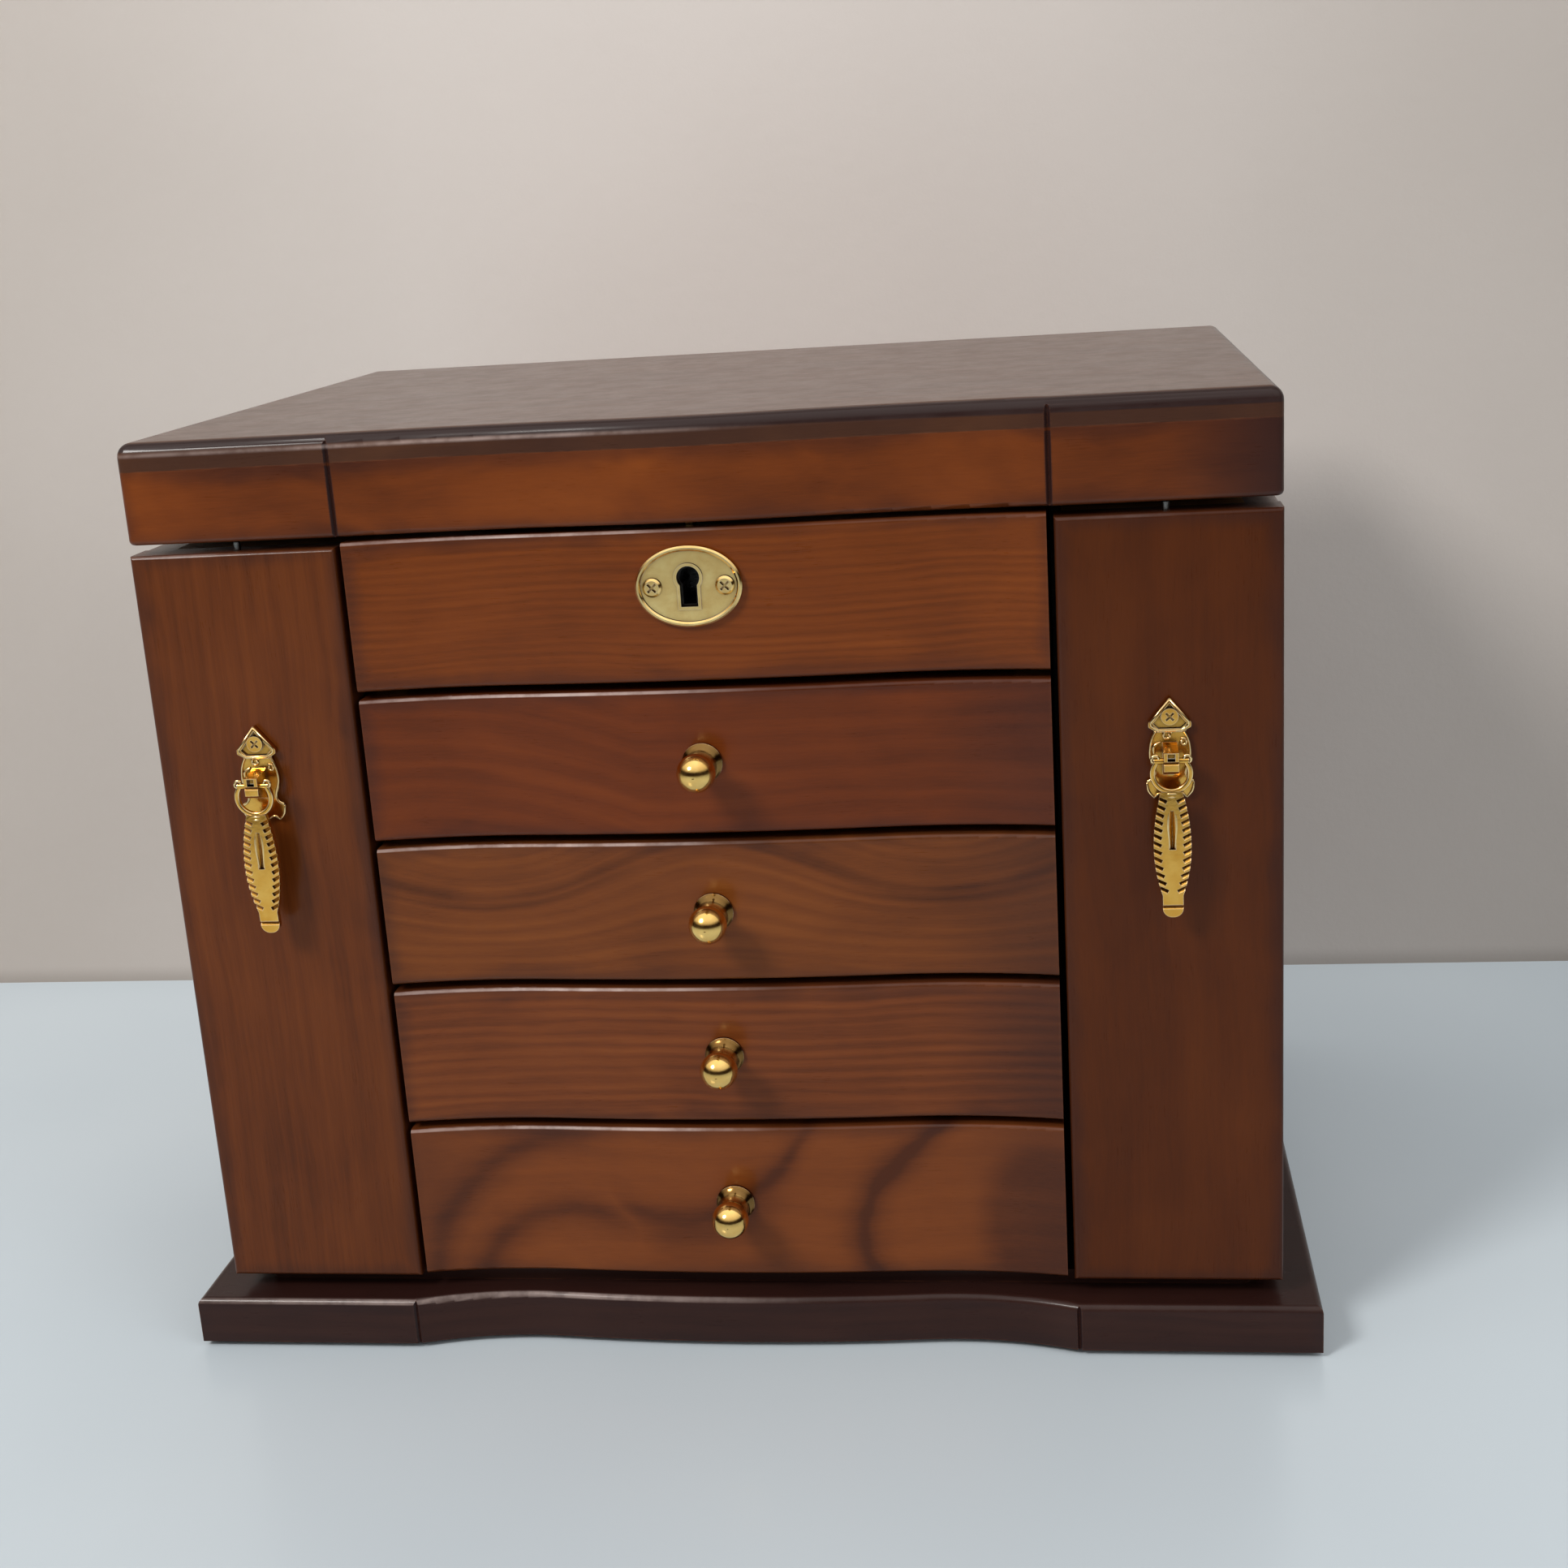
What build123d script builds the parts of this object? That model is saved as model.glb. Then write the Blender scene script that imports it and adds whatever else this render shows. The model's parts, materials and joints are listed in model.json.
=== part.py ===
from build123d import *
import math
import os

# Wooden vanity box: a mirror in the lid, a lined tray under it, four drawers behind a serpentine
# front, and two side wings that swing out on rear hinges. Sizes are in millimetres. The origin is
# the middle of the face it rests on, +X is to the right, +Y to the back and +Z up.

# ---------------------------------------------------------------- driving dimensions

# Whole body
body_width = 340.0
body_depth = 248.0
plinth_side_lip = 11.5
plinth_front_lip = 6.2
plinth_thickness = 15.5
plinth_round = 2.2
felt_thickness = 2.0
felt_inset = 3.2
panel_thickness = 10.0
back_panel_round = 2.0

# Recessed board between the plinth and the fronts
bottom_board_thickness = 4.7
bottom_board_recess = 8.5
bottom_board_round = 4.0

# Drawer bank
front_thickness = 14.0
small_front_height = 44.65
tall_front_height = 51.05
small_drawers = 3
front_gap = 2.6
front_lift = 1.8
fascia_height = 45.6
front_edge_round = 1.3

# Serpentine of the drawer bank, the lid and the plinth: where its hollows lie, as a share of the
# wave's half length, and the depths of hollow and crown behind the ends of the wave
flank_share = 0.65
bank_setback = 3.0
bank_crown = 0.8
lid_setback = 1.5
lid_crown = -1.6
plinth_setback = 6.2
plinth_crown = 3.0

# Drawer boxes and their runners
box_wall = 7.0
box_floor = 3.0
box_back_gap = 9.5
box_below_top = 4.2
box_above_bottom = 3.0
runner_height = 5.4
runner_reach = 3.9
runner_setback = 2.0
runner_round = 2.5
dado_depth = 1.5

# Side wings
wing_width = 64.0
wing_gap = 2.1
wing_front_thickness = 12.0
wing_side_thickness = 10.0
wing_lift = 0.9
wing_top_gap = 3.2
wing_board_thickness = 6.0
wing_board_inset = 2.0
wing_board_setback = 5.0
wing_board_corner = 14.0
tongue_thickness = 4.0
tongue_length = 4.0
partition_reveal = 0.8
partition_thickness = 9.6

# Lid and mirror
lid_height = 30.5
lid_top_thickness = 8.5
lid_round = 4.0
lid_corner_round = 2.5
lid_under_round = 1.5
lid_rail_front = 14.0
lid_rail = 12.0
groove_side = 1.25
mirror_thickness = 3.0
mirror_bevel = 9.0
mirror_bevel_depth = 0.8
mirror_frame_width = 11.0
mirror_frame_depth = 8.0
mirror_frame_round = 3.5
mirror_lap = 4.0

# Tray under the lid
tray_floor_thickness = 4.0
lining_thickness = 1.2
lining_below_rim = 2.0
lining_below_box = 1.5
divider_thickness = 3.0
divider_height = 29.0
divider_chamfer = 0.6
ring_roll_radius = 6.8
ring_rolls_count = 5
ring_roll_flat = 1.0
ring_roll_gap = 0.7

# Butt hinges
hinge_length = 38.0
hinge_leaf = 0.8
hinge_gap = 1.8
hinge_leaf_reach = 9.0
knuckle_radius = 2.2
hinge_pin_radius = 1.0
hinge_pin_end = 0.8
lid_hinge_x = 105.0
wing_hinge_low = 55.0
wing_hinge_high = 225.0

# Lock, escutcheon and strike
escutcheon_width = 31.7
escutcheon_height = 24.0
escutcheon_drop = 16.9
escutcheon_plate = 1.1
escutcheon_rim = 2.1
escutcheon_bead = 1.5
escutcheon_chamfer = 0.5
keyhole_round = 2.8
keyhole_slot = 3.9
keyhole_height = 10.8
plate_keyhole_margin = 0.6
keyhole_frame = 0.9
keyhole_frame_height = 0.5
screw_spacing = 21.6
screw_head_radius = 2.8
screw_shank_radius = 1.1
screw_tip_wood = 0.7
screw_head_height = 1.3
screw_slot = 0.7
lock_width = 32.0
lock_height = 27.0
lock_depth = 8.3
lock_back = 1.2
lock_case_round = 3.0
selvedge_width = 38.0
selvedge_thickness = 1.4
bolt_size = 2.4
bolt_length = 10.5
bolt_travel = 5.0
bolt_drop = 6.2
bolt_rest_gap = 1.0
bolt_end_room = 0.6
bolt_chamfer = 0.4
staple_thickness = 2.0
staple_width = 5.0
staple_drop = 9.0
staple_round = 1.2
staple_room = 0.8
strike_length = 22.0
strike_width = 6.5
strike_thickness = 1.2
strike_round = 2.0

# Ball knobs
rose_radius = 6.15
rose_edge = 1.0
rose_bevel = 0.6
knob_ball_radius = 5.8
knob_reach = 18.0
knob_neck_radius = 3.6
knob_flare_radius = 3.9
knob_flare_level = 3.6
knob_spigot_radius = 2.0
knob_spigot_length = 7.0

# Drop pulls
pull_inset = 32.5
pull_pivot_height = 193.4
pull_pivot_reach = 8.0
pull_plate_thickness = 1.6
pull_post_half = 2.1
pull_ring_radius = 5.4
pull_ring_drop = 3.6
pull_wire = 0.9
pull_ring_wire = 0.85
pull_length = 47.0
pull_notches = 13

# Small fittings
lock_pin_radius = 1.1
lock_pin_set = 4.5
lock_pin_depth = 8.0
lock_pin_chamfer = 0.35
hook_width = 1.8
hook_thickness = 1.6
hook_bend = 3.6
hook_shank = 5.0
hook_foot_radius = 2.2
hook_foot = 1.0
hook_count = 4
hook_rail_width = 14.0
hook_rail_height = 9.0
hook_rail_setback = 6.0
hook_rail_round = 3.0
bumper_radius = 3.4
bumper_inset = 20.0

# Clearances between pieces
seat_fit = 0.05
running_fit = 0.05
moving_gap = 0.3
drawer_side_gap = 0.6
runner_gap = 0.5
divider_gap = 0.5
lining_fit = 0.1
bumper_gap = 0.3

# ---------------------------------------------------------------- levels worked out from them

half_body = body_width / 2
y_front = -(body_depth + plinth_front_lip) / 2 + plinth_front_lip
y_back = y_front + body_depth
y_panel = y_back - panel_thickness
y_fascia_back = y_front + front_thickness + moving_gap

z_plinth = felt_thickness
z_board = z_plinth + plinth_thickness
z_floor = z_board + bottom_board_thickness
z_fronts = z_floor + front_lift
front_pitch = small_front_height + front_gap
z_fascia = z_fronts + tall_front_height + front_gap + small_drawers * front_pitch
z_rim = z_fascia + fascia_height
z_lid = z_rim + hinge_gap
z_lid_top = z_lid + lid_height
z_wing = z_floor + wing_lift
z_wing_top = z_lid - wing_top_gap

wing_inner = half_body - wing_width
bank_half = wing_inner - wing_gap
partition_outer = bank_half - partition_reveal
partition_inner = partition_outer - partition_thickness
wave_half_lid = wing_inner - wing_gap / 2
wave_half_plinth = wing_inner + wing_gap / 2
wing_side_inner = half_body - wing_side_thickness
y_wing_inner = y_front + wing_front_thickness
y_wing_back = y_panel - hinge_gap

z_key = z_rim - escutcheon_drop
y_crown = y_front + bank_crown

hinge_offset = knuckle_radius + moving_gap
y_lid_axis = y_back + hinge_offset
z_lid_axis = z_rim + hinge_gap / 2
x_wing_axis = half_body + hinge_offset
y_wing_axis = y_panel - hinge_gap / 2


# ---------------------------------------------------------------- shared shapes


def save(builder, name):
    """Labels a finished piece and writes it as its own file."""
    builder.part.label = name
    export_step(builder.part, f"parts/{name}.step")


def twin(source):
    """The same piece on the other side of the box."""
    with BuildPart() as other:
        mirror(source.part, about=Plane.YZ)
    return other


def serpentine(half, front, setback, crown):
    """Draws a serpentine front from x = half to x = -half: two hollow flanks and a swelling."""
    flank_x = flank_share * half
    swing = setback - crown
    flank_radius = ((half - flank_x) ** 2 + setback**2) / (2 * setback)
    both_radii = (flank_x**2 + swing**2) / (2 * swing)
    share = 1 - flank_radius / both_radii
    turn_x = flank_x * share
    crown_centre = front + crown + both_radii - flank_radius
    flank_centre = front + setback - flank_radius
    turn_y = crown_centre + (flank_centre - crown_centre) * share
    ThreePointArc((half, front), (flank_x, front + setback), (turn_x, turn_y))
    ThreePointArc((turn_x, turn_y), (0, front + crown), (-turn_x, turn_y))
    ThreePointArc((-turn_x, turn_y), (-flank_x, front + setback), (-half, front))


def serpentine_board(low, high, half, wave_half, front, back, setback, crown):
    """Adds a board whose front edge is serpentine between x = -wave_half and wave_half."""
    with BuildSketch(Plane.XY.offset(low)) as outline:
        with BuildLine():
            serpentine(wave_half, front, setback, crown)
            if half > wave_half:
                Line((-wave_half, front), (-half, front))
                Line((half, front), (wave_half, front))
            Polyline((-half, front), (-half, back), (half, back), (half, front))
        make_face()
    extrude(outline.sketch, amount=high - low)


def v_grooves(x, front, low, high):
    """Cuts the pair of upright V-grooves where the serpentine meets the straight ends."""
    with BuildSketch(Plane.XY.offset(low)) as groove:
        with Locations((x, front), (-x, front)):
            Rectangle(groove_side, groove_side, rotation=45)
    extrude(groove.sketch, amount=high - low, mode=Mode.SUBTRACT)


def block(low, high):
    """Adds a rectangular block between two corners."""
    size = [b - a for a, b in zip(low, high)]
    with Locations(tuple((a + b) / 2 for a, b in zip(low, high))):
        Box(*size)


def pocket(low, high):
    """Cuts a rectangular pocket between two corners."""
    size = [b - a for a, b in zip(low, high)]
    with Locations(tuple((a + b) / 2 for a, b in zip(low, high))):
        Box(*size, mode=Mode.SUBTRACT)


def keyhole_outline(margin):
    """Draws a keyhole, larger all round by the margin: a circle over an upright slot."""
    with Locations((0, keyhole_height / 2 - keyhole_round)):
        Circle(keyhole_round + margin)
    with Locations((0, -keyhole_round / 2)):
        Rectangle(keyhole_slot + 2 * margin, keyhole_height - keyhole_round + 2 * margin)


def keyhole(plane, depth, margin=0):
    """Cuts a keyhole of the given depth behind a plane that faces the front."""
    with BuildSketch(plane) as outline:
        keyhole_outline(margin)
    extrude(outline.sketch, amount=-depth, mode=Mode.SUBTRACT)


os.makedirs("parts", exist_ok=True)

# ---------------------------------------------------------------- plinth, felt and bottom board

plinth_half = half_body + plinth_side_lip
y_plinth = y_front - plinth_front_lip

with BuildPart() as base_plinth:
    serpentine_board(
        z_plinth,
        z_board,
        plinth_half,
        wave_half_plinth,
        y_plinth,
        y_back,
        plinth_setback,
        plinth_crown,
    )
    fillet(base_plinth.edges().group_by(Axis.Z)[-1], plinth_round)
    v_grooves(wave_half_plinth, y_plinth, z_plinth, z_board)
save(base_plinth, "base_plinth")

with BuildPart() as base_felt:
    with BuildSketch():
        with BuildLine():
            serpentine(wave_half_plinth, y_plinth, plinth_setback, plinth_crown)
            Line((-wave_half_plinth, y_plinth), (-plinth_half, y_plinth))
            Line((plinth_half, y_plinth), (wave_half_plinth, y_plinth))
            Polyline(
                (-plinth_half, y_plinth),
                (-plinth_half, y_back),
                (plinth_half, y_back),
                (plinth_half, y_plinth),
            )
        make_face()
        offset(amount=-felt_inset, mode=Mode.REPLACE)
    extrude(amount=felt_thickness)
save(base_felt, "base_felt")

with BuildPart() as bottom_board:
    block(
        (-half_body + bottom_board_recess, y_front + bottom_board_recess, z_board),
        (half_body - bottom_board_recess, y_back, z_floor),
    )
    fillet(bottom_board.edges().filter_by(Axis.Z).group_by(Axis.Y)[0], bottom_board_round)
save(bottom_board, "bottom_board")

# ---------------------------------------------------------------- carcase panels

with BuildPart() as back_panel:
    block((-half_body, y_panel, z_floor), (half_body, y_back, z_rim))
    fillet(back_panel.edges().filter_by(Axis.Z).group_by(Axis.Y)[-1], back_panel_round)
save(back_panel, "back_panel")

# Each drawer: lowest level of its front, height of its front. Number 1 is the top one.
drawer_fronts = [
    (z_fascia - (number + 1) * front_pitch, small_front_height) for number in range(small_drawers)
]
drawer_fronts.append((z_fronts, tall_front_height))


def runner_level(low, height):
    """Middle level of a drawer's runners: half-way up its box."""
    return low + (height - box_below_top + box_above_bottom) / 2


runner_levels = [runner_level(low, height) for low, height in drawer_fronts]
y_runner = y_fascia_back + runner_setback

with BuildPart() as right_partition:
    block((partition_inner, y_fascia_back, z_floor), (partition_outer, y_panel, z_rim))
    for level in runner_levels:
        pocket(
            (partition_inner, y_runner, level - runner_height / 2),
            (partition_inner + dado_depth, y_panel, level + runner_height / 2),
        )
    pocket(
        (partition_inner, y_fascia_back, z_fascia),
        (partition_inner + dado_depth, y_panel, z_fascia + tray_floor_thickness),
    )

with BuildPart() as partitions:
    add(right_partition.part)
    mirror(right_partition.part, about=Plane.YZ)
save(partitions, "partitions")

with BuildPart() as drawer_runners:
    for level in runner_levels:
        block(
            (partition_inner - runner_reach, y_runner, level - runner_height / 2),
            (partition_inner + dado_depth, y_panel, level + runner_height / 2),
        )
    inner_ends = drawer_runners.edges().filter_by(Axis.Z).group_by(Axis.X)[0].group_by(Axis.Y)[0]
    fillet(inner_ends, runner_round)
    mirror(about=Plane.YZ)
save(drawer_runners, "drawer_runners")

# ---------------------------------------------------------------- fascia and lock

front_plane = Plane(origin=(0, y_crown, z_key), x_dir=(1, 0, 0), z_dir=(0, -1, 0))
y_lock = y_fascia_back - lock_depth
z_lock = z_rim - lock_height
screw_length = escutcheon_plate + (y_lock - y_crown) - screw_tip_wood

with BuildPart() as fascia:
    serpentine_board(
        z_fascia, z_rim, bank_half, bank_half, y_front, y_fascia_back, bank_setback, bank_crown
    )
    front_edges = fascia.edges().filter_by_position(Axis.Y, y_front - 1, y_front + bank_setback + 1)
    fillet(front_edges.group_by(Axis.Z)[-1] + front_edges.group_by(Axis.Z)[0], front_edge_round)
    pocket(
        (-lock_width / 2 - seat_fit, y_lock - seat_fit, z_lock - seat_fit),
        (lock_width / 2 + seat_fit, y_fascia_back, z_rim),
    )
    pocket(
        (-selvedge_width / 2 - seat_fit, y_lock - seat_fit, z_rim - selvedge_thickness - seat_fit),
        (selvedge_width / 2 + seat_fit, y_fascia_back, z_rim),
    )
    keyhole(front_plane, y_lock - y_crown)
    with BuildSketch(front_plane):
        with GridLocations(screw_spacing, 0, 2, 1):
            Circle(screw_shank_radius + seat_fit)
    extrude(amount=-(screw_length - escutcheon_plate + seat_fit), mode=Mode.SUBTRACT)
save(fascia, "fascia")

bolt_channel = bolt_size + 2 * moving_gap
z_bolt = z_rim - bolt_drop
y_bolt = y_fascia_back - lock_depth / 2
bolt_rest_tip = -staple_thickness / 2 - bolt_rest_gap
z_staple_tip = z_lid - staple_drop

with BuildPart() as lock_case:
    block((-lock_width / 2, y_lock, z_lock), (lock_width / 2, y_fascia_back, z_rim))
    fillet(lock_case.edges().filter_by(Axis.Y).group_by(Axis.Z)[0], lock_case_round)
    block(
        (-selvedge_width / 2, y_lock, z_rim - selvedge_thickness),
        (selvedge_width / 2, y_fascia_back, z_rim),
    )
    half_slot_x = staple_thickness / 2 + staple_room
    half_slot_y = staple_width / 2 + staple_room
    pocket(
        (-half_slot_x, y_bolt - half_slot_y, z_staple_tip - 2 * staple_room),
        (half_slot_x, y_bolt + half_slot_y, z_rim),
    )
    pocket(
        (bolt_rest_tip - bolt_length - bolt_end_room, y_bolt - bolt_channel / 2, z_bolt - bolt_channel / 2),
        (bolt_rest_tip + bolt_travel + bolt_end_room, y_bolt + bolt_channel / 2, z_bolt + bolt_channel / 2),
    )
    keyhole(front_plane.offset(y_crown - y_lock), lock_depth - lock_back)
save(lock_case, "lock_case")

with BuildPart() as lock_bolt:
    block(
        (bolt_rest_tip - bolt_length, y_bolt - bolt_size / 2, z_bolt - bolt_size / 2),
        (bolt_rest_tip, y_bolt + bolt_size / 2, z_bolt + bolt_size / 2),
    )
    chamfer(lock_bolt.faces().sort_by(Axis.X)[-1].edges(), bolt_chamfer)
save(lock_bolt, "lock_bolt")

with BuildPart() as escutcheon:
    with BuildSketch(front_plane):
        Ellipse(escutcheon_width / 2, escutcheon_height / 2)
    extrude(amount=escutcheon_plate)
    with BuildSketch(front_plane):
        Ellipse(escutcheon_width / 2, escutcheon_height / 2)
        Ellipse(
            escutcheon_width / 2 - escutcheon_bead,
            escutcheon_height / 2 - escutcheon_bead,
            mode=Mode.SUBTRACT,
        )
    extrude(amount=escutcheon_rim)
    chamfer(escutcheon.faces().sort_by(Axis.Y)[0].edges(), escutcheon_chamfer)
    with BuildSketch(front_plane):
        keyhole_outline(plate_keyhole_margin + keyhole_frame)
    extrude(amount=escutcheon_plate + keyhole_frame_height)
    keyhole(
        front_plane.offset(escutcheon_plate + keyhole_frame_height),
        escutcheon_plate + keyhole_frame_height,
        plate_keyhole_margin,
    )
    with BuildSketch(front_plane):
        with GridLocations(screw_spacing, 0, 2, 1):
            Circle(screw_shank_radius + seat_fit)
    extrude(amount=escutcheon_plate, mode=Mode.SUBTRACT)
save(escutcheon, "escutcheon")

with BuildPart() as escutcheon_screws:
    for side in (-1, 1):
        seat = Plane(
            origin=(side * screw_spacing / 2, y_crown - escutcheon_plate, z_key),
            x_dir=(1, 0, 0),
            z_dir=(0, -1, 0),
        )
        with BuildSketch(seat):
            Circle(screw_head_radius)
        extrude(amount=screw_head_height)
        chamfer(escutcheon_screws.faces().sort_by(Axis.Y)[0].edges(), screw_head_height / 2)
        with BuildSketch(seat):
            Circle(screw_shank_radius)
        extrude(amount=-screw_length)
        with BuildSketch(seat.offset(screw_head_height)):
            Rectangle(1.2 * screw_head_radius, screw_slot, rotation=45)
            Rectangle(1.2 * screw_head_radius, screw_slot, rotation=-45)
        extrude(amount=-screw_slot, mode=Mode.SUBTRACT)
save(escutcheon_screws, "escutcheon_screws")

# ---------------------------------------------------------------- tray under the lid

z_tray = z_fascia + tray_floor_thickness
liner_half = partition_inner - lining_fit
y_liner = y_fascia_back + lining_fit
y_liner_back = y_panel - lining_fit
z_liner_top = z_rim - lining_below_rim
z_pad = z_tray + lining_thickness
pit_half = liner_half - lining_thickness
y_pit = y_liner + lining_thickness
y_pit_back = y_liner_back - lining_thickness
roll_pitch = 2 * ring_roll_radius + ring_roll_gap
y_divider = y_pit + ring_rolls_count * roll_pitch + divider_gap

with BuildPart() as tray_floor:
    block(
        (-partition_inner - dado_depth, y_fascia_back, z_fascia),
        (partition_inner + dado_depth, y_panel, z_tray),
    )
save(tray_floor, "tray_floor")

with BuildPart() as tray_lining:
    block((-liner_half, y_liner, z_tray), (liner_half, y_liner_back, z_liner_top))
    pocket((-pit_half, y_pit, z_pad), (pit_half, y_pit_back, z_liner_top))
save(tray_lining, "tray_lining")

with BuildPart() as tray_dividers:
    wall_half = divider_thickness / 2
    cross_half = pit_half - lining_fit
    y_walls_end = y_pit_back - lining_fit
    long_wall_x = cross_half / 3
    y_middle = (y_divider + divider_thickness + y_walls_end) / 2
    z_walls = z_pad + divider_height
    block((-cross_half, y_divider, z_pad), (cross_half, y_divider + divider_thickness, z_walls))
    for x in (-long_wall_x, long_wall_x):
        block((x - wall_half, y_divider, z_pad), (x + wall_half, y_walls_end, z_walls))
    block((-long_wall_x, y_middle - wall_half, z_pad), (long_wall_x, y_middle + wall_half, z_walls))
    chamfer(tray_dividers.faces().sort_by(Axis.Z)[-1].edges(), divider_chamfer)
save(tray_dividers, "tray_dividers")

with BuildPart() as ring_rolls:
    roll_length = 2 * pit_half - 2 * lining_fit
    for number in range(ring_rolls_count):
        y_roll = y_pit + moving_gap + (number + 0.5) * roll_pitch
        with Locations((0, y_roll, z_pad + ring_roll_radius - ring_roll_flat)):
            Cylinder(ring_roll_radius, roll_length, rotation=(0, 90, 0))
    pocket((-liner_half, y_liner, z_pad - ring_roll_flat), (liner_half, y_divider, z_pad))
save(ring_rolls, "ring_rolls")

# ---------------------------------------------------------------- drawers

with BuildPart() as knob:
    # Turned profile: a thin rose against the front, a neck that flares into it, then a ball
    ball_centre = knob_reach - knob_ball_radius
    neck_end = ball_centre - math.sqrt(knob_ball_radius**2 - knob_neck_radius**2)
    with BuildSketch():
        with BuildLine():
            Polyline(
                (rose_radius - rose_bevel, -rose_edge - rose_bevel),
                (rose_radius, -rose_edge),
                (rose_radius, 0),
                (0, 0),
                (0, -knob_reach),
            )
            ThreePointArc(
                (rose_radius - rose_bevel, -rose_edge - rose_bevel),
                (knob_flare_radius, -knob_flare_level),
                (knob_neck_radius, -neck_end),
            )
            ThreePointArc(
                (0, -knob_reach), (knob_ball_radius, -ball_centre), (knob_neck_radius, -neck_end)
            )
        make_face()
    revolve(axis=Axis.Y)
    with Locations((0, knob_spigot_length / 2, 0)):
        Cylinder(knob_spigot_radius, knob_spigot_length, rotation=(90, 0, 0))

box_half = partition_inner - drawer_side_gap
y_box = y_front + front_thickness
y_box_back = y_panel - box_back_gap
groove_floor = partition_inner - runner_reach - runner_gap
groove_half = runner_height / 2 + moving_gap

for index, (low, height) in enumerate(drawer_fronts):
    name = f"drawer_{index + 1}"
    z_box = low + box_above_bottom
    z_box_top = low + height - box_below_top
    knob_level = low + height / 2

    with BuildPart() as drawer_front:
        serpentine_board(
            low, low + height, bank_half, bank_half, y_front, y_box, bank_setback, bank_crown
        )
        y_hollow = y_front + bank_setback
        front_edges = drawer_front.edges().filter_by_position(Axis.Y, y_front - 1, y_hollow + 1)
        fillet(front_edges.group_by(Axis.Z)[-1] + front_edges.group_by(Axis.Z)[0], front_edge_round)
        with Locations((0, y_crown, knob_level)):
            Cylinder(
                knob_spigot_radius + seat_fit,
                2 * (knob_spigot_length + seat_fit),
                rotation=(90, 0, 0),
                mode=Mode.SUBTRACT,
            )
    save(drawer_front, f"{name}_front")

    with BuildPart() as drawer_box:
        block((-box_half, y_box, z_box), (box_half, y_box_back, z_box_top))
        pocket(
            (-box_half + box_wall, y_box, z_box + box_floor),
            (box_half - box_wall, y_box_back - box_wall, z_box_top),
        )
        for side in (-1, 1):
            x_low, x_high = sorted((side * groove_floor, side * box_half))
            pocket(
                (x_low, y_box, runner_levels[index] - groove_half),
                (x_high, y_box_back, runner_levels[index] + groove_half),
            )
    save(drawer_box, f"{name}_box")

    with BuildPart() as drawer_lining:
        inner = box_half - box_wall - lining_fit
        y_lining_back = y_box_back - box_wall - lining_fit
        z_lining = z_box + box_floor
        z_lining_top = z_box_top - lining_below_box
        block((-inner, y_box + lining_fit, z_lining), (inner, y_lining_back, z_lining_top))
        pocket(
            (-inner + lining_thickness, y_box + lining_fit + lining_thickness, z_lining + lining_thickness),
            (inner - lining_thickness, y_lining_back - lining_thickness, z_lining_top),
        )
    save(drawer_lining, f"{name}_lining")

    with BuildPart() as drawer_knob:
        with Locations((0, y_crown, knob_level)):
            add(knob.part)
    save(drawer_knob, f"{name}_knob")

# ---------------------------------------------------------------- lid and mirror

z_lid_joint = z_lid_top - lid_top_thickness

with BuildPart() as lid_top:
    serpentine_board(
        z_lid_joint, z_lid_top, half_body, wave_half_lid, y_front, y_back, lid_setback, lid_crown
    )
    corners = lid_top.edges().filter_by(Axis.Z).filter_by_position(
        Axis.X, -half_body - 1, -half_body + 1
    ) + lid_top.edges().filter_by(Axis.Z).filter_by_position(Axis.X, half_body - 1, half_body + 1)
    fillet(corners, lid_corner_round)
    fillet(lid_top.edges().group_by(Axis.Z)[-1], lid_round)
    v_grooves(wave_half_lid, y_front, z_lid_joint, z_lid_top - lid_round / 2)
save(lid_top, "lid_top")

recess_half = half_body - lid_rail
y_recess = y_front + lid_rail_front
y_recess_back = y_back - lid_rail

with BuildPart() as lid_frame:
    serpentine_board(z_lid, z_lid_joint, half_body, wave_half_lid, y_front, y_back, lid_setback, lid_crown)
    corners = lid_frame.edges().filter_by(Axis.Z).filter_by_position(
        Axis.X, -half_body - 1, -half_body + 1
    ) + lid_frame.edges().filter_by(Axis.Z).filter_by_position(Axis.X, half_body - 1, half_body + 1)
    fillet(corners, lid_corner_round)
    fillet(lid_frame.edges().group_by(Axis.Z)[0], lid_under_round)
    pocket((-recess_half, y_recess, z_lid), (recess_half, y_recess_back, z_lid_joint))
    with BuildSketch(Plane.XY.offset(z_lid)):
        with Locations((0, y_bolt)):
            seat_length = strike_length + 2 * seat_fit
            seat_width = strike_width + 2 * seat_fit
            RectangleRounded(seat_length, seat_width, strike_round + seat_fit)
    extrude(amount=strike_thickness + seat_fit, mode=Mode.SUBTRACT)
    v_grooves(wave_half_lid, y_front, z_lid, z_lid_joint)
save(lid_frame, "lid_frame")

mirror_half = recess_half - mirror_frame_width + mirror_lap
y_mirror = y_recess + mirror_frame_width - mirror_lap
y_mirror_back = y_recess_back - mirror_frame_width + mirror_lap

with BuildPart() as mirror_glass:
    block(
        (-mirror_half, y_mirror, z_lid_joint - mirror_thickness),
        (mirror_half, y_mirror_back, z_lid_joint),
    )
    face = mirror_glass.faces().sort_by(Axis.Z)[0]
    chamfer(face.edges(), mirror_bevel, mirror_bevel_depth, reference=face)
save(mirror_glass, "mirror")

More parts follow.
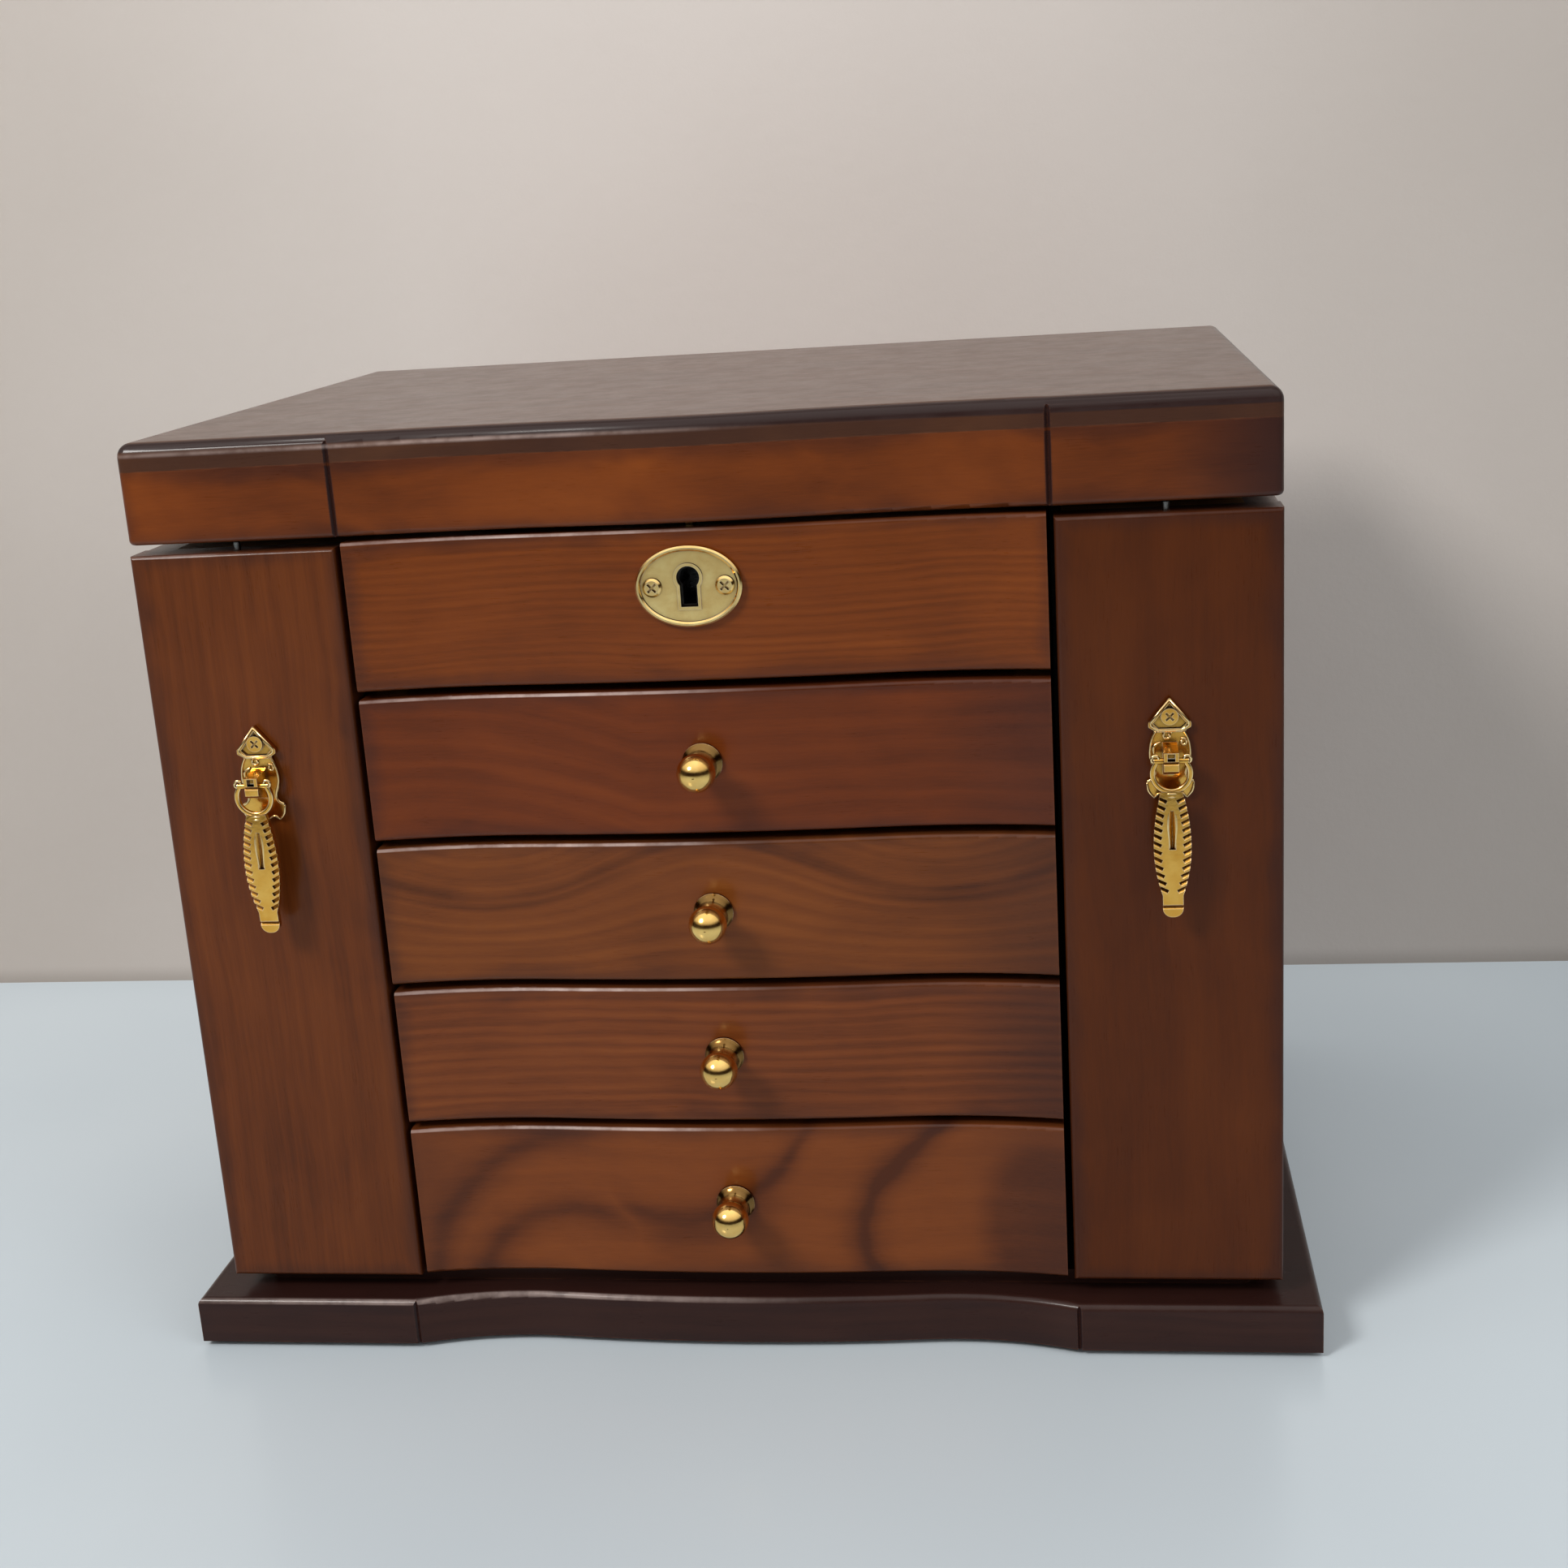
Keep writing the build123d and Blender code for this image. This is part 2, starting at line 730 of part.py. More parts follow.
with BuildPart() as mirror_frame:
    z_moulding = z_lid_joint - mirror_frame_depth
    block((-recess_half, y_recess, z_moulding), (recess_half, y_recess_back, z_lid_joint))
    pocket(
        (-recess_half + mirror_frame_width, y_recess + mirror_frame_width, z_moulding),
        (recess_half - mirror_frame_width, y_recess_back - mirror_frame_width, z_lid_joint),
    )
    pocket(
        (-mirror_half, y_mirror, z_lid_joint - mirror_thickness), (mirror_half, y_mirror_back, z_lid_joint)
    )
    fillet(mirror_frame.faces().sort_by(Axis.Z)[0].inner_wires()[0].edges(), mirror_frame_round)
save(mirror_frame, "mirror_frame")

with BuildPart() as strike_plate:
    # Let into the lid flush with its underside, with the staple hanging from it
    block(
        (-strike_length / 2, y_bolt - strike_width / 2, z_lid),
        (strike_length / 2, y_bolt + strike_width / 2, z_lid + strike_thickness),
    )
    fillet(strike_plate.edges().filter_by(Axis.Z), strike_round)
    block(
        (-staple_thickness / 2, y_bolt - staple_width / 2, z_staple_tip),
        (staple_thickness / 2, y_bolt + staple_width / 2, z_lid),
    )
    fillet(strike_plate.edges().filter_by(Axis.X).group_by(Axis.Z)[0], staple_round)
    pocket(
        (-staple_thickness, y_bolt - bolt_channel / 2, z_bolt - bolt_channel / 2),
        (staple_thickness, y_bolt + bolt_channel / 2, z_bolt + bolt_channel / 2),
    )
save(strike_plate, "strike_plate")

# ---------------------------------------------------------------- butt hinges

# One hinge, its axis along X through the origin: the leaves reach towards -Y, the fixed one below.
knuckle_gap = 0.4
knuckle_length = (hinge_length - 2 * knuckle_gap) / 3
knuckle_pitch = knuckle_length + knuckle_gap


def hinge_leaf_half(knuckles, level):
    """Adds a leaf at the given level with barrels at the given places along the axis."""
    block(
        (-hinge_length / 2, -hinge_offset - hinge_leaf_reach, level),
        (hinge_length / 2, -hinge_offset, level + hinge_leaf),
    )
    for x in knuckles:
        block(
            (x - knuckle_length / 2, -hinge_offset, level), (x + knuckle_length / 2, 0, level + hinge_leaf)
        )
        with Locations((x, 0, 0)):
            Cylinder(knuckle_radius, knuckle_length, rotation=(0, 90, 0))
    for x in knuckles:
        with Locations((x, 0, 0)):
            Cylinder(
                hinge_pin_radius + running_fit,
                knuckle_length + knuckle_gap,
                rotation=(0, 90, 0),
                mode=Mode.SUBTRACT,
            )


with BuildPart() as fixed_leaf:
    hinge_leaf_half((-knuckle_pitch, knuckle_pitch), -hinge_gap / 2)

with BuildPart() as moving_leaf:
    hinge_leaf_half((0,), hinge_gap / 2 - hinge_leaf)

with BuildPart() as hinge_pin:
    Cylinder(hinge_pin_radius, hinge_length + 2 * hinge_pin_end, rotation=(0, 90, 0))

lid_hinge_places = [
    Plane(origin=(x, y_lid_axis, z_lid_axis), x_dir=(1, 0, 0), z_dir=(0, 0, 1))
    for x in (-lid_hinge_x, lid_hinge_x)
]
right_hinge_places = [
    Plane(origin=(x_wing_axis, y_wing_axis, z), x_dir=(0, 0, -1), z_dir=(0, -1, 0))
    for z in (wing_hinge_low, wing_hinge_high)
]
left_hinge_places = [
    Plane(origin=(-x_wing_axis, y_wing_axis, z), x_dir=(0, 0, 1), z_dir=(0, -1, 0))
    for z in (wing_hinge_low, wing_hinge_high)
]

with BuildPart() as hinge_leaves:
    with Locations(*lid_hinge_places, *right_hinge_places, *left_hinge_places):
        add(fixed_leaf.part)
save(hinge_leaves, "hinge_leaves")

with BuildPart() as hinge_pins:
    with Locations(*lid_hinge_places, *right_hinge_places, *left_hinge_places):
        add(hinge_pin.part)
save(hinge_pins, "hinge_pins")

with BuildPart() as lid_hinge_leaves:
    with Locations(*lid_hinge_places):
        add(moving_leaf.part)
save(lid_hinge_leaves, "lid_hinge_leaves")

with BuildPart() as right_hinge_leaves:
    with Locations(*right_hinge_places):
        add(moving_leaf.part)
save(right_hinge_leaves, "right_hinge_leaves")

with BuildPart() as left_hinge_leaves:
    with Locations(*left_hinge_places):
        add(moving_leaf.part)
save(left_hinge_leaves, "left_hinge_leaves")

with BuildPart() as lid_bumpers:
    bumper_x = (partition_inner + partition_outer) / 2
    with BuildSketch(Plane.XY.offset(z_rim)):
        with Locations((0, (y_fascia_back + y_panel) / 2)):
            with GridLocations(2 * bumper_x, y_panel - y_fascia_back - 2 * bumper_inset, 2, 2):
                Circle(bumper_radius)
    extrude(amount=hinge_gap - bumper_gap)
save(lid_bumpers, "lid_bumpers")

# ---------------------------------------------------------------- side wings

tongue_x = wing_side_inner + (wing_side_thickness - tongue_thickness) / 2

with BuildPart() as right_wing_front:
    block((wing_inner, y_front, z_wing), (half_body, y_wing_inner, z_wing_top))
    fillet(right_wing_front.faces().sort_by(Axis.Y)[0].edges(), front_edge_round)
    pocket(
        (tongue_x - seat_fit, y_wing_inner - tongue_length - seat_fit, z_wing),
        (tongue_x + tongue_thickness + seat_fit, y_wing_inner, z_wing_top),
    )
    with BuildSketch(Plane.XY.offset(z_wing_top)):
        with Locations((half_body - pull_inset, y_front + lock_pin_set)):
            Circle(lock_pin_radius + seat_fit)
    extrude(amount=-lock_pin_depth, mode=Mode.SUBTRACT)

with BuildPart() as right_wing_side:
    block((wing_side_inner, y_wing_inner, z_wing), (half_body, y_wing_back, z_wing_top))
    fillet(right_wing_side.edges().filter_by(Axis.Y).group_by(Axis.X)[-1], front_edge_round)
    block(
        (tongue_x, y_wing_inner - tongue_length, z_wing),
        (tongue_x + tongue_thickness, y_wing_inner, z_wing_top),
    )

y_boards_end = y_wing_back - wing_board_setback
board_inner = wing_inner + wing_board_inset


def wing_board(low):
    """Adds a shelf of the wing with a rounded rear inner corner."""
    block((board_inner, y_wing_inner, low), (wing_side_inner, y_boards_end, low + wing_board_thickness))


with BuildPart() as right_wing_boards:
    wing_board(z_wing)
    wing_board(z_wing_top - wing_board_thickness)
    rear_corners = right_wing_boards.edges().filter_by(Axis.Z).group_by(Axis.X)[0].group_by(Axis.Y)[-1]
    fillet(rear_corners, wing_board_corner)

with BuildPart() as right_wing_lining:
    block(
        (wing_side_inner - lining_thickness, y_wing_inner, z_wing + wing_board_thickness),
        (wing_side_inner, y_boards_end, z_wing_top - wing_board_thickness),
    )

z_rail = z_wing_top - wing_board_thickness - hook_rail_height
rail_x = (board_inner + wing_side_inner) / 2
y_rail = y_wing_inner + hook_rail_setback
y_rail_end = y_boards_end - wing_board_corner

with BuildPart() as right_hook_rail:
    block(
        (rail_x - hook_rail_width / 2, y_rail, z_rail),
        (rail_x + hook_rail_width / 2, y_rail_end, z_wing_top - wing_board_thickness),
    )
    fillet(right_hook_rail.edges().filter_by(Axis.Y).group_by(Axis.Z)[0], hook_rail_round)

with BuildPart() as hook:
    # A flat cast hook: a round foot under the rail, a shank and a bend that opens inwards
    with BuildSketch():
        Circle(hook_foot_radius)
    extrude(amount=-hook_foot)
    with BuildSketch(Plane.XZ):
        bend_outer = hook_bend + hook_width / 2
        with Locations((-hook_bend, -hook_shank)):
            Circle(bend_outer)
            Circle(hook_bend - hook_width / 2, mode=Mode.SUBTRACT)
        with Locations((-hook_bend, -hook_shank + bend_outer)):
            Rectangle(2 * bend_outer, 2 * bend_outer, mode=Mode.SUBTRACT)
        with Locations((0, -hook_shank / 2)):
            Rectangle(hook_width, hook_shank)
        with Locations((-2 * hook_bend, -hook_shank)):
            Circle(hook_width / 2)
    extrude(amount=hook_thickness / 2, both=True)

with BuildPart() as right_hooks:
    hook_step = (y_rail_end - y_rail) / hook_count
    for number in range(hook_count):
        with Locations((rail_x, y_rail + (number + 0.5) * hook_step, z_rail)):
            add(hook.part)

with BuildPart() as right_lock_pin:
    z_pin = z_wing_top - lock_pin_depth + seat_fit
    with BuildSketch(Plane.XY.offset(z_pin)):
        with Locations((half_body - pull_inset, y_front + lock_pin_set)):
            Circle(lock_pin_radius)
    extrude(amount=z_lid - moving_gap - z_pin)
    chamfer(right_lock_pin.edges().group_by(Axis.Z)[-1], lock_pin_chamfer)

for source, name in (
    (right_wing_front, "wing_front"),
    (right_wing_side, "wing_side"),
    (right_wing_boards, "wing_boards"),
    (right_wing_lining, "wing_lining"),
    (right_hook_rail, "hook_rail"),
    (right_hooks, "hooks"),
    (right_lock_pin, "lock_pin"),
):
    save(source, f"right_{name}")
    save(twin(source), f"left_{name}")

# ---------------------------------------------------------------- drop pulls

# Drawn about the pivot's place on the wing's face: x to the side, y up, z out of the face.
pull_face = Plane(origin=(0, 0, 0), x_dir=(1, 0, 0), z_dir=(0, -1, 0))
spade_thickness = 2.2
spade_recess = 0.8
spade_apex = 17.4
spade_foot = 7.0
spade_half = 6.1
rosette_level = 11.7
rosette_radius = 2.5
rosette_height = 1.4
rosette_slot = 0.6
post_reach = pull_pivot_reach + 1.8
post_hole = 2.2
post_hole_level = 1.3
post_hole_depth = 1.2
post_groove = 0.7
post_groove_level = -0.4
leaf_tip = -13.8

with BuildPart() as pull_plate:
    # Spade head with a raised rim round its screw rosette
    with BuildSketch(pull_face) as spade:
        with BuildLine():
            Polyline(
                (0, spade_apex),
                (spade_half, spade_apex - 7.6),
                (spade_half, spade_apex - 8.9),
                (3.4, spade_foot),
                (-3.4, spade_foot),
                (-spade_half, spade_apex - 8.9),
                (-spade_half, spade_apex - 7.6),
                close=True,
            )
        make_face()
        fillet(spade.vertices(), 0.5)
    extrude(amount=spade_thickness)
    with BuildSketch(pull_face.offset(spade_thickness)):
        with BuildLine():
            Polyline(
                (0, spade_apex - 1.8),
                (spade_half - 1.3, spade_apex - 7.8),
                (3.2, spade_foot + 1.1),
                (-3.2, spade_foot + 1.1),
                (1.3 - spade_half, spade_apex - 7.8),
                close=True,
            )
        make_face()
    extrude(amount=-spade_recess, mode=Mode.SUBTRACT)
    rosette_face = pull_face.offset(spade_thickness - spade_recess + rosette_height)
    with BuildSketch(rosette_face):
        with Locations((0, rosette_level)):
            Circle(rosette_radius)
    extrude(amount=-rosette_height)
    with BuildSketch(rosette_face):
        with Locations((0, rosette_level)):
            Rectangle(1.2 * rosette_radius, rosette_slot, rotation=45)
            Rectangle(1.2 * rosette_radius, rosette_slot, rotation=-45)
    extrude(amount=-rosette_slot, mode=Mode.SUBTRACT)
    # Swelling body below the head, and a leaf whose tips flare out behind the ring
    with BuildSketch(pull_face):
        with BuildLine():
            Line((0, spade_foot + 1), (4.4, spade_foot + 1))
            ThreePointArc((4.4, spade_foot + 1), (5.0, 5.4), (5.6, 3.0))
            ThreePointArc((5.6, 3.0), (5.9, -0.6), (4.4, -5.0))
            ThreePointArc((4.4, -5.0), (5.2, -7.2), (6.9, -8.0))
            ThreePointArc((6.9, -8.0), (6.3, -11.0), (4.7, -12.9))
            ThreePointArc((4.7, -12.9), (3.3, -11.6), (1.4, -12.2))
            Polyline((1.4, -12.2), (0, leaf_tip), (0, spade_foot + 1))
        make_face()
        mirror(about=Plane.YZ)
    extrude(amount=pull_plate_thickness)
    # Bracket that carries the drop, seen from the side, with a square eye over a boss
    with BuildSketch(Plane.YZ):
        with BuildLine():
            Polyline(
                (0, 4.4),
                (-3.2, 3.4),
                (-post_reach, 2.7),
                (-post_reach, -2.8),
                (1.0 - post_reach, -3.6),
                (0, -6.2),
                close=True,
            )
        make_face()
    extrude(amount=pull_post_half, both=True)
    with BuildSketch(pull_face.offset(post_reach)):
        with Locations((0, post_hole_level)):
            Rectangle(post_hole, post_hole)
    extrude(amount=-post_hole_depth, mode=Mode.SUBTRACT)
    with Locations((0, -post_reach, post_groove_level)):
        Box(3 * pull_post_half, post_groove, post_groove, rotation=(45, 0, 0), mode=Mode.SUBTRACT)
    with Locations((0, -pull_pivot_reach, 0)):
        Cylinder(
            pull_wire + running_fit, 3 * pull_post_half, rotation=(0, 90, 0), mode=Mode.SUBTRACT
        )

ring_plane = pull_face.offset(pull_pivot_reach)
pendant_top = pull_ring_drop + pull_ring_radius
notch_side = 0.95
notch_reach = 3.2
notch_inset = 0.7
notch_slant = 28.0
slit_start = 14.6
slit_length = 11.5
slit_side = 1.4
tip_half = 2.95
tip_block = 6.8
tip_groove = 3.2
pendant_back = 0.8
pendant_blank = 3.0

with BuildPart() as pendant:
    with BuildSketch(ring_plane):
        with BuildLine():
            Line((0, -pendant_top), (3.0, -pendant_top))
            upper_side = ThreePointArc((3.0, -pendant_top), (4.7, -16.6), (5.35, -24.0))
            lower_side = ThreePointArc((5.35, -24.0), (4.8, -32.6), (tip_half, tip_block - pull_length))
            Line((tip_half, tip_block - pull_length), (tip_half, 2.4 - pull_length))
            ThreePointArc((tip_half, 2.4 - pull_length), (2.05, 0.7 - pull_length), (0, -pull_length))
            Line((0, -pull_length), (0, -pendant_top))
        make_face()
        mirror(about=Plane.YZ)
    extrude(amount=pendant_blank, both=True)
    # Seen from the side it swells towards the middle and thins to the tip.
    with BuildSketch(Plane.YZ):
        with BuildLine():
            front = ThreePointArc(
                (-pull_pivot_reach - 0.9, -pendant_top),
                (-pull_pivot_reach - 1.9, -0.55 * (pull_length + pendant_top)),
                (-pull_pivot_reach - 1.1, -pull_length),
            )
            Polyline(
                front @ 1,
                (pendant_back - pull_pivot_reach, -pull_length),
                (pendant_back - pull_pivot_reach, -pendant_top),
                front @ 0,
            )
        make_face()
    extrude(amount=2 * pull_ring_radius, both=True, mode=Mode.INTERSECT)
    for number in range(pull_notches):
        share = 2 * (0.08 + 0.86 * number / (pull_notches - 1))
        place = upper_side @ share if share < 1 else lower_side @ (share - 1)
        depth = front @ ((-place.Y - pendant_top) / (pull_length - pendant_top))
        for hand in (-1, 1):
            notch = Location(
                (hand * (place.X - notch_inset), depth.X, place.Y), (0, -hand * notch_slant, 0)
            )
            with Locations(notch):
                Box(notch_reach, notch_side, notch_side, rotation=(45, 0, 0), mode=Mode.SUBTRACT)
    with BuildSketch(Plane.XY.offset(-slit_start)):
        with Locations((0, -pull_pivot_reach - 1.8)):
            Rectangle(slit_side, slit_side, rotation=45)
    extrude(amount=-slit_length, mode=Mode.SUBTRACT)
    with Locations((0, -pull_pivot_reach - 1.35, tip_groove - pull_length)):
        Box(2 * pull_ring_radius, notch_side, notch_side, rotation=(45, 0, 0), mode=Mode.SUBTRACT)

with BuildPart() as drop:
    end_angle = math.degrees(math.asin(pull_ring_drop / pull_ring_radius))
    end_x = math.sqrt(pull_ring_radius**2 - pull_ring_drop**2)
    ring_axis = Axis((0, -pull_pivot_reach, -pull_ring_drop), (0, 1, 0))
    ring_start = Plane(
        origin=(end_x, -pull_pivot_reach, 0), x_dir=(0, 1, 0), z_dir=(-pull_ring_drop, 0, end_x)
    )
    with BuildSketch(ring_start) as wire_end:
        Circle(pull_ring_wire)
    revolve(wire_end.sketch, axis=ring_axis, revolution_arc=180 + 2 * end_angle)
    pin_depth = 0.8
    for hand in (-1, 1):
        stub_start = pull_post_half - pin_depth
        stub_end = end_x + pull_wire
        with Locations((hand * (stub_start + stub_end) / 2, -pull_pivot_reach, 0)):
            Cylinder(pull_wire, stub_end - stub_start, rotation=(0, 90, 0))
    add(pendant.part)

for hand, name in ((1, "right"), (-1, "left")):
    pull_place = (hand * (half_body - pull_inset), y_front, pull_pivot_height)
    with BuildPart() as placed_plate:
        with Locations(pull_place):
            add(pull_plate.part)
    save(placed_plate, f"{name}_pull_plate")
    with BuildPart() as placed_drop:
        with Locations(pull_place):
            add(drop.part)
    save(placed_drop, f"{name}_drop")
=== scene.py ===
import json
import math
from collections import namedtuple

import bmesh
import bpy
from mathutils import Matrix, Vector, noise


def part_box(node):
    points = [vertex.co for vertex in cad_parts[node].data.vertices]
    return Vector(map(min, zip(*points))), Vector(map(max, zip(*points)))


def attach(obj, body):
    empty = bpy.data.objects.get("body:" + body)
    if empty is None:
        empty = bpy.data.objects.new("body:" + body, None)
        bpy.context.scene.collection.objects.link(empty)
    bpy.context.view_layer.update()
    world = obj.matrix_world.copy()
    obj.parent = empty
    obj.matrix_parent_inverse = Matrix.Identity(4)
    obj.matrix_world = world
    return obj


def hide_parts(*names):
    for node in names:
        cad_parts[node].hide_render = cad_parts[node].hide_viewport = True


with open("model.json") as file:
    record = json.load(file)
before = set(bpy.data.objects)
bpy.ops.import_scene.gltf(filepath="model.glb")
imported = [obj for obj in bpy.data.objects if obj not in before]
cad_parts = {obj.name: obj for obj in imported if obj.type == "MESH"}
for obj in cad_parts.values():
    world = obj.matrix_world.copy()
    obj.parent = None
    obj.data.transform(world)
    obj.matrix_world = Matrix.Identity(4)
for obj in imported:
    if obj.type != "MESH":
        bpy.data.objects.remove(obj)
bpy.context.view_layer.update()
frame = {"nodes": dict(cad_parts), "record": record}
nodes = frame["nodes"]
MM = 0.001

# Left alone, Blender takes the offsets of noise_vector from the clock.
RIPPLE_SEED = 1
noise.seed_set(RIPPLE_SEED)


# ---------------------------------------------------------------- camera

# Solved from the corners of the box in the photograph.
CAMERA_PLACE = (0.10963, -0.71670, 0.35603)     # metres
CAMERA_TURN = (74.311, 3.591, 7.151)            # degrees about X, Y and Z
CAMERA_LENS = 48.16                             # millimetres, as the sensor's width
SENSOR_WIDTH = 36.0


def add_object(name, data):
    """Puts a mesh, light or camera into the scene."""
    piece = bpy.data.objects.new(name, data)
    bpy.context.scene.collection.objects.link(piece)
    return piece


def make_camera():
    """The view of the photograph: seen from a little right of the middle, looking down."""
    data = bpy.data.cameras.new("camera")
    data.sensor_width = SENSOR_WIDTH
    data.lens = CAMERA_LENS
    camera = add_object("camera", data)
    camera.location = CAMERA_PLACE
    camera.rotation_euler = [math.radians(angle) for angle in CAMERA_TURN]
    bpy.context.scene.camera = camera


# ---------------------------------------------------------------- node graphs

def srgb(red, green, blue):
    """A colour given as 0 to 255 display values, as the linear values that Blender uses."""
    linear = []
    for value in (red, green, blue):
        share = value / 255
        linear.append(share / 12.92 if share <= 0.04045 else ((share + 0.055) / 1.055) ** 2.4)
    return (*linear, 1.0)


# The colour sockets of a Mix node: their names repeat, so they are found by number.
MIX_SHARE, MIX_FIRST, MIX_SECOND, MIX_RESULT = 0, 6, 7, 2


class Field:
    """A number that varies over a surface. Arithmetic on it adds math nodes to its graph."""

    def __init__(self, graph, socket):
        self.graph = graph
        self.socket = socket

    def math(self, operation, *others):
        node = self.graph.add("ShaderNodeMath", operation=operation)
        for socket, value in zip(node.inputs, (self, *others)):
            self.graph.put(socket, value)
        return Field(self.graph, node.outputs[0])

    def __add__(self, other):
        return self.math("ADD", other)

    def __mul__(self, other):
        return self.math("MULTIPLY", other)

    def __sub__(self, other):
        return self.math("SUBTRACT", other)

    def __truediv__(self, other):
        return self.math("DIVIDE", other)

    __radd__ = __add__

    def __rsub__(self, other):
        return self * -1 + other

    def smooth(self, low, high, at_low=0.0, at_high=1.0):
        """Goes smoothly from at_low to at_high as the field goes from low to high."""
        node = self.graph.add("ShaderNodeMapRange", interpolation_type="SMOOTHSTEP")
        for name, value in (
            ("Value", self),
            ("From Min", low),
            ("From Max", high),
            ("To Min", at_low),
            ("To Max", at_high),
        ):
            self.graph.put(node.inputs[name], value)
        return Field(self.graph, node.outputs["Result"])

    def band(self, centre, width):
        """1 where the field is at centre, fading to 0 at width from it."""
        return (self - centre).math("ABSOLUTE").smooth(0, width, 1, 0)


class Graph:
    """The nodes of a material or of the world, with short calls for what feeds the shader."""

    def __init__(self, owner, shader="ShaderNodeBsdfPrincipled", output="ShaderNodeOutputMaterial"):
        owner.use_nodes = True
        self.owner = owner
        self.tree = owner.node_tree
        self.tree.nodes.clear()
        self.shader = self.add(shader)
        self.output = self.add(output)
        self.put(self.output.inputs["Surface"], self.shader.outputs[0])

    def add(self, kind, **settings):
        """A new node with the given settings."""
        node = self.tree.nodes.new(kind)
        for name, value in settings.items():
            setattr(node, name, value)
        return node

    def put(self, socket, value):
        """Gives a socket a plain value, or links a field or another socket to it."""
        if isinstance(value, Field):
            self.tree.links.new(value.socket, socket)
        elif isinstance(value, bpy.types.NodeSocket):
            self.tree.links.new(value, socket)
        else:
            socket.default_value = value

    def axes(self, centre=(0, 0, 0)):
        """X, Y and Z from the given point, in millimetres, as fields."""
        place = self.add("ShaderNodeTexCoord").outputs["Object"]
        shift = self.add("ShaderNodeVectorMath", operation="SUBTRACT")
        self.put(shift.inputs[0], place)
        self.put(shift.inputs[1], Vector(centre))
        scale = self.add("ShaderNodeVectorMath", operation="SCALE")
        self.put(scale.inputs[0], shift.outputs[0])
        self.put(scale.inputs["Scale"], 1 / MM)
        return self.parts(scale.outputs[0])

    def parts(self, vector):
        """The X, Y and Z of a vector, as fields."""
        split = self.add("ShaderNodeSeparateXYZ")
        self.put(split.inputs[0], vector)
        return [Field(self, socket) for socket in split.outputs]

    def noise(self, place, detail=2.0, rough=0.5, warp=0.0):
        """Noise of about 0 to 1 at three fields, which are given in units of the noise."""
        join = self.add("ShaderNodeCombineXYZ")
        for socket, value in zip(join.inputs, place):
            self.put(socket, value)
        node = self.add("ShaderNodeTexNoise")
        self.put(node.inputs["Vector"], join.outputs[0])
        settings = {"Scale": 1.0, "Detail": detail, "Roughness": rough, "Distortion": warp}
        for name, value in settings.items():
            self.put(node.inputs[name], value)
        return Field(self, node.outputs["Fac"])

    def ramp(self, field, *stops):
        """A colour for each value of a field. Stops are (value, colour)."""
        node = self.add("ShaderNodeValToRGB")
        elements = node.color_ramp.elements
        while len(elements) < len(stops):
            elements.new(0.5)
        for element, (value, colour) in zip(elements, stops):
            element.position = value
            element.color = colour
        self.put(node.inputs["Fac"], field)
        return node.outputs["Color"]

    def mix(self, share, first, second):
        """A colour between two colours: the first where share is 0, the second where it is 1."""
        node = self.add("ShaderNodeMix", data_type="RGBA")
        self.put(node.inputs[MIX_SHARE], share)
        self.put(node.inputs[MIX_FIRST], first)
        self.put(node.inputs[MIX_SECOND], second)
        return node.outputs[MIX_RESULT]

    def bump(self, height, depth, strength=1.0):
        """A normal from a height field; depth is the height of 1, in millimetres."""
        node = self.add("ShaderNodeBump")
        self.put(node.inputs["Height"], height)
        self.put(node.inputs["Distance"], depth * MM)
        self.put(node.inputs["Strength"], strength)
        return node.outputs["Normal"]

    def edge_nearness(self, radius, edge_spread=0.12):
        """1 along the sharp edges of the piece, 0 on its faces."""
        bevel = self.add("ShaderNodeBevel", samples=3)
        self.put(bevel.inputs["Radius"], radius * MM)
        dot = self.add("ShaderNodeVectorMath", operation="DOT_PRODUCT")
        self.put(dot.inputs[0], bevel.outputs["Normal"])
        self.put(dot.inputs[1], self.normals())
        return (1 - Field(self, dot.outputs["Value"])).smooth(0.01, edge_spread)

    def openness(self, reach):
        """1 on open faces and near 0 deep in hollows narrower than reach, in millimetres."""
        hollow = self.add("ShaderNodeAmbientOcclusion", samples=4)
        self.put(hollow.inputs["Distance"], reach * MM)
        return Field(self, hollow.outputs["AO"])

    def normals(self):
        return self.add("ShaderNodeNewGeometry").outputs["Normal"]

    def finish(self, **sockets):
        """Sets the shader's sockets: Base_Color is the socket named Base Color."""
        for name, value in sockets.items():
            self.put(self.shader.inputs[name.replace("_", " ")], value)
        return self.owner


def material_graph(name):
    return Graph(bpy.data.materials.new(name))


# ---------------------------------------------------------------- table, wall and lights

STAGE_REACH = 4.0
WALL_Y = 0.212              # the open lid reaches back to 0.204
LIGHT_TARGET = (0, 0, 0.15)


def pale_table():
    """A smooth pale table top with the faintest clouds in its colour and its gloss."""
    graph = material_graph("pale_table")
    x, y, z = graph.axes()
    cloud = graph.noise((x / 240, y / 240, z), detail=2)
    return graph.finish(
        Base_Color=graph.ramp(cloud, (0.3, srgb(204, 216, 225)), (0.7, srgb(212, 223, 231))),
        Roughness=cloud.smooth(0.2, 0.8, 0.2, 0.24),
        Specular_IOR_Level=0.35,
    )


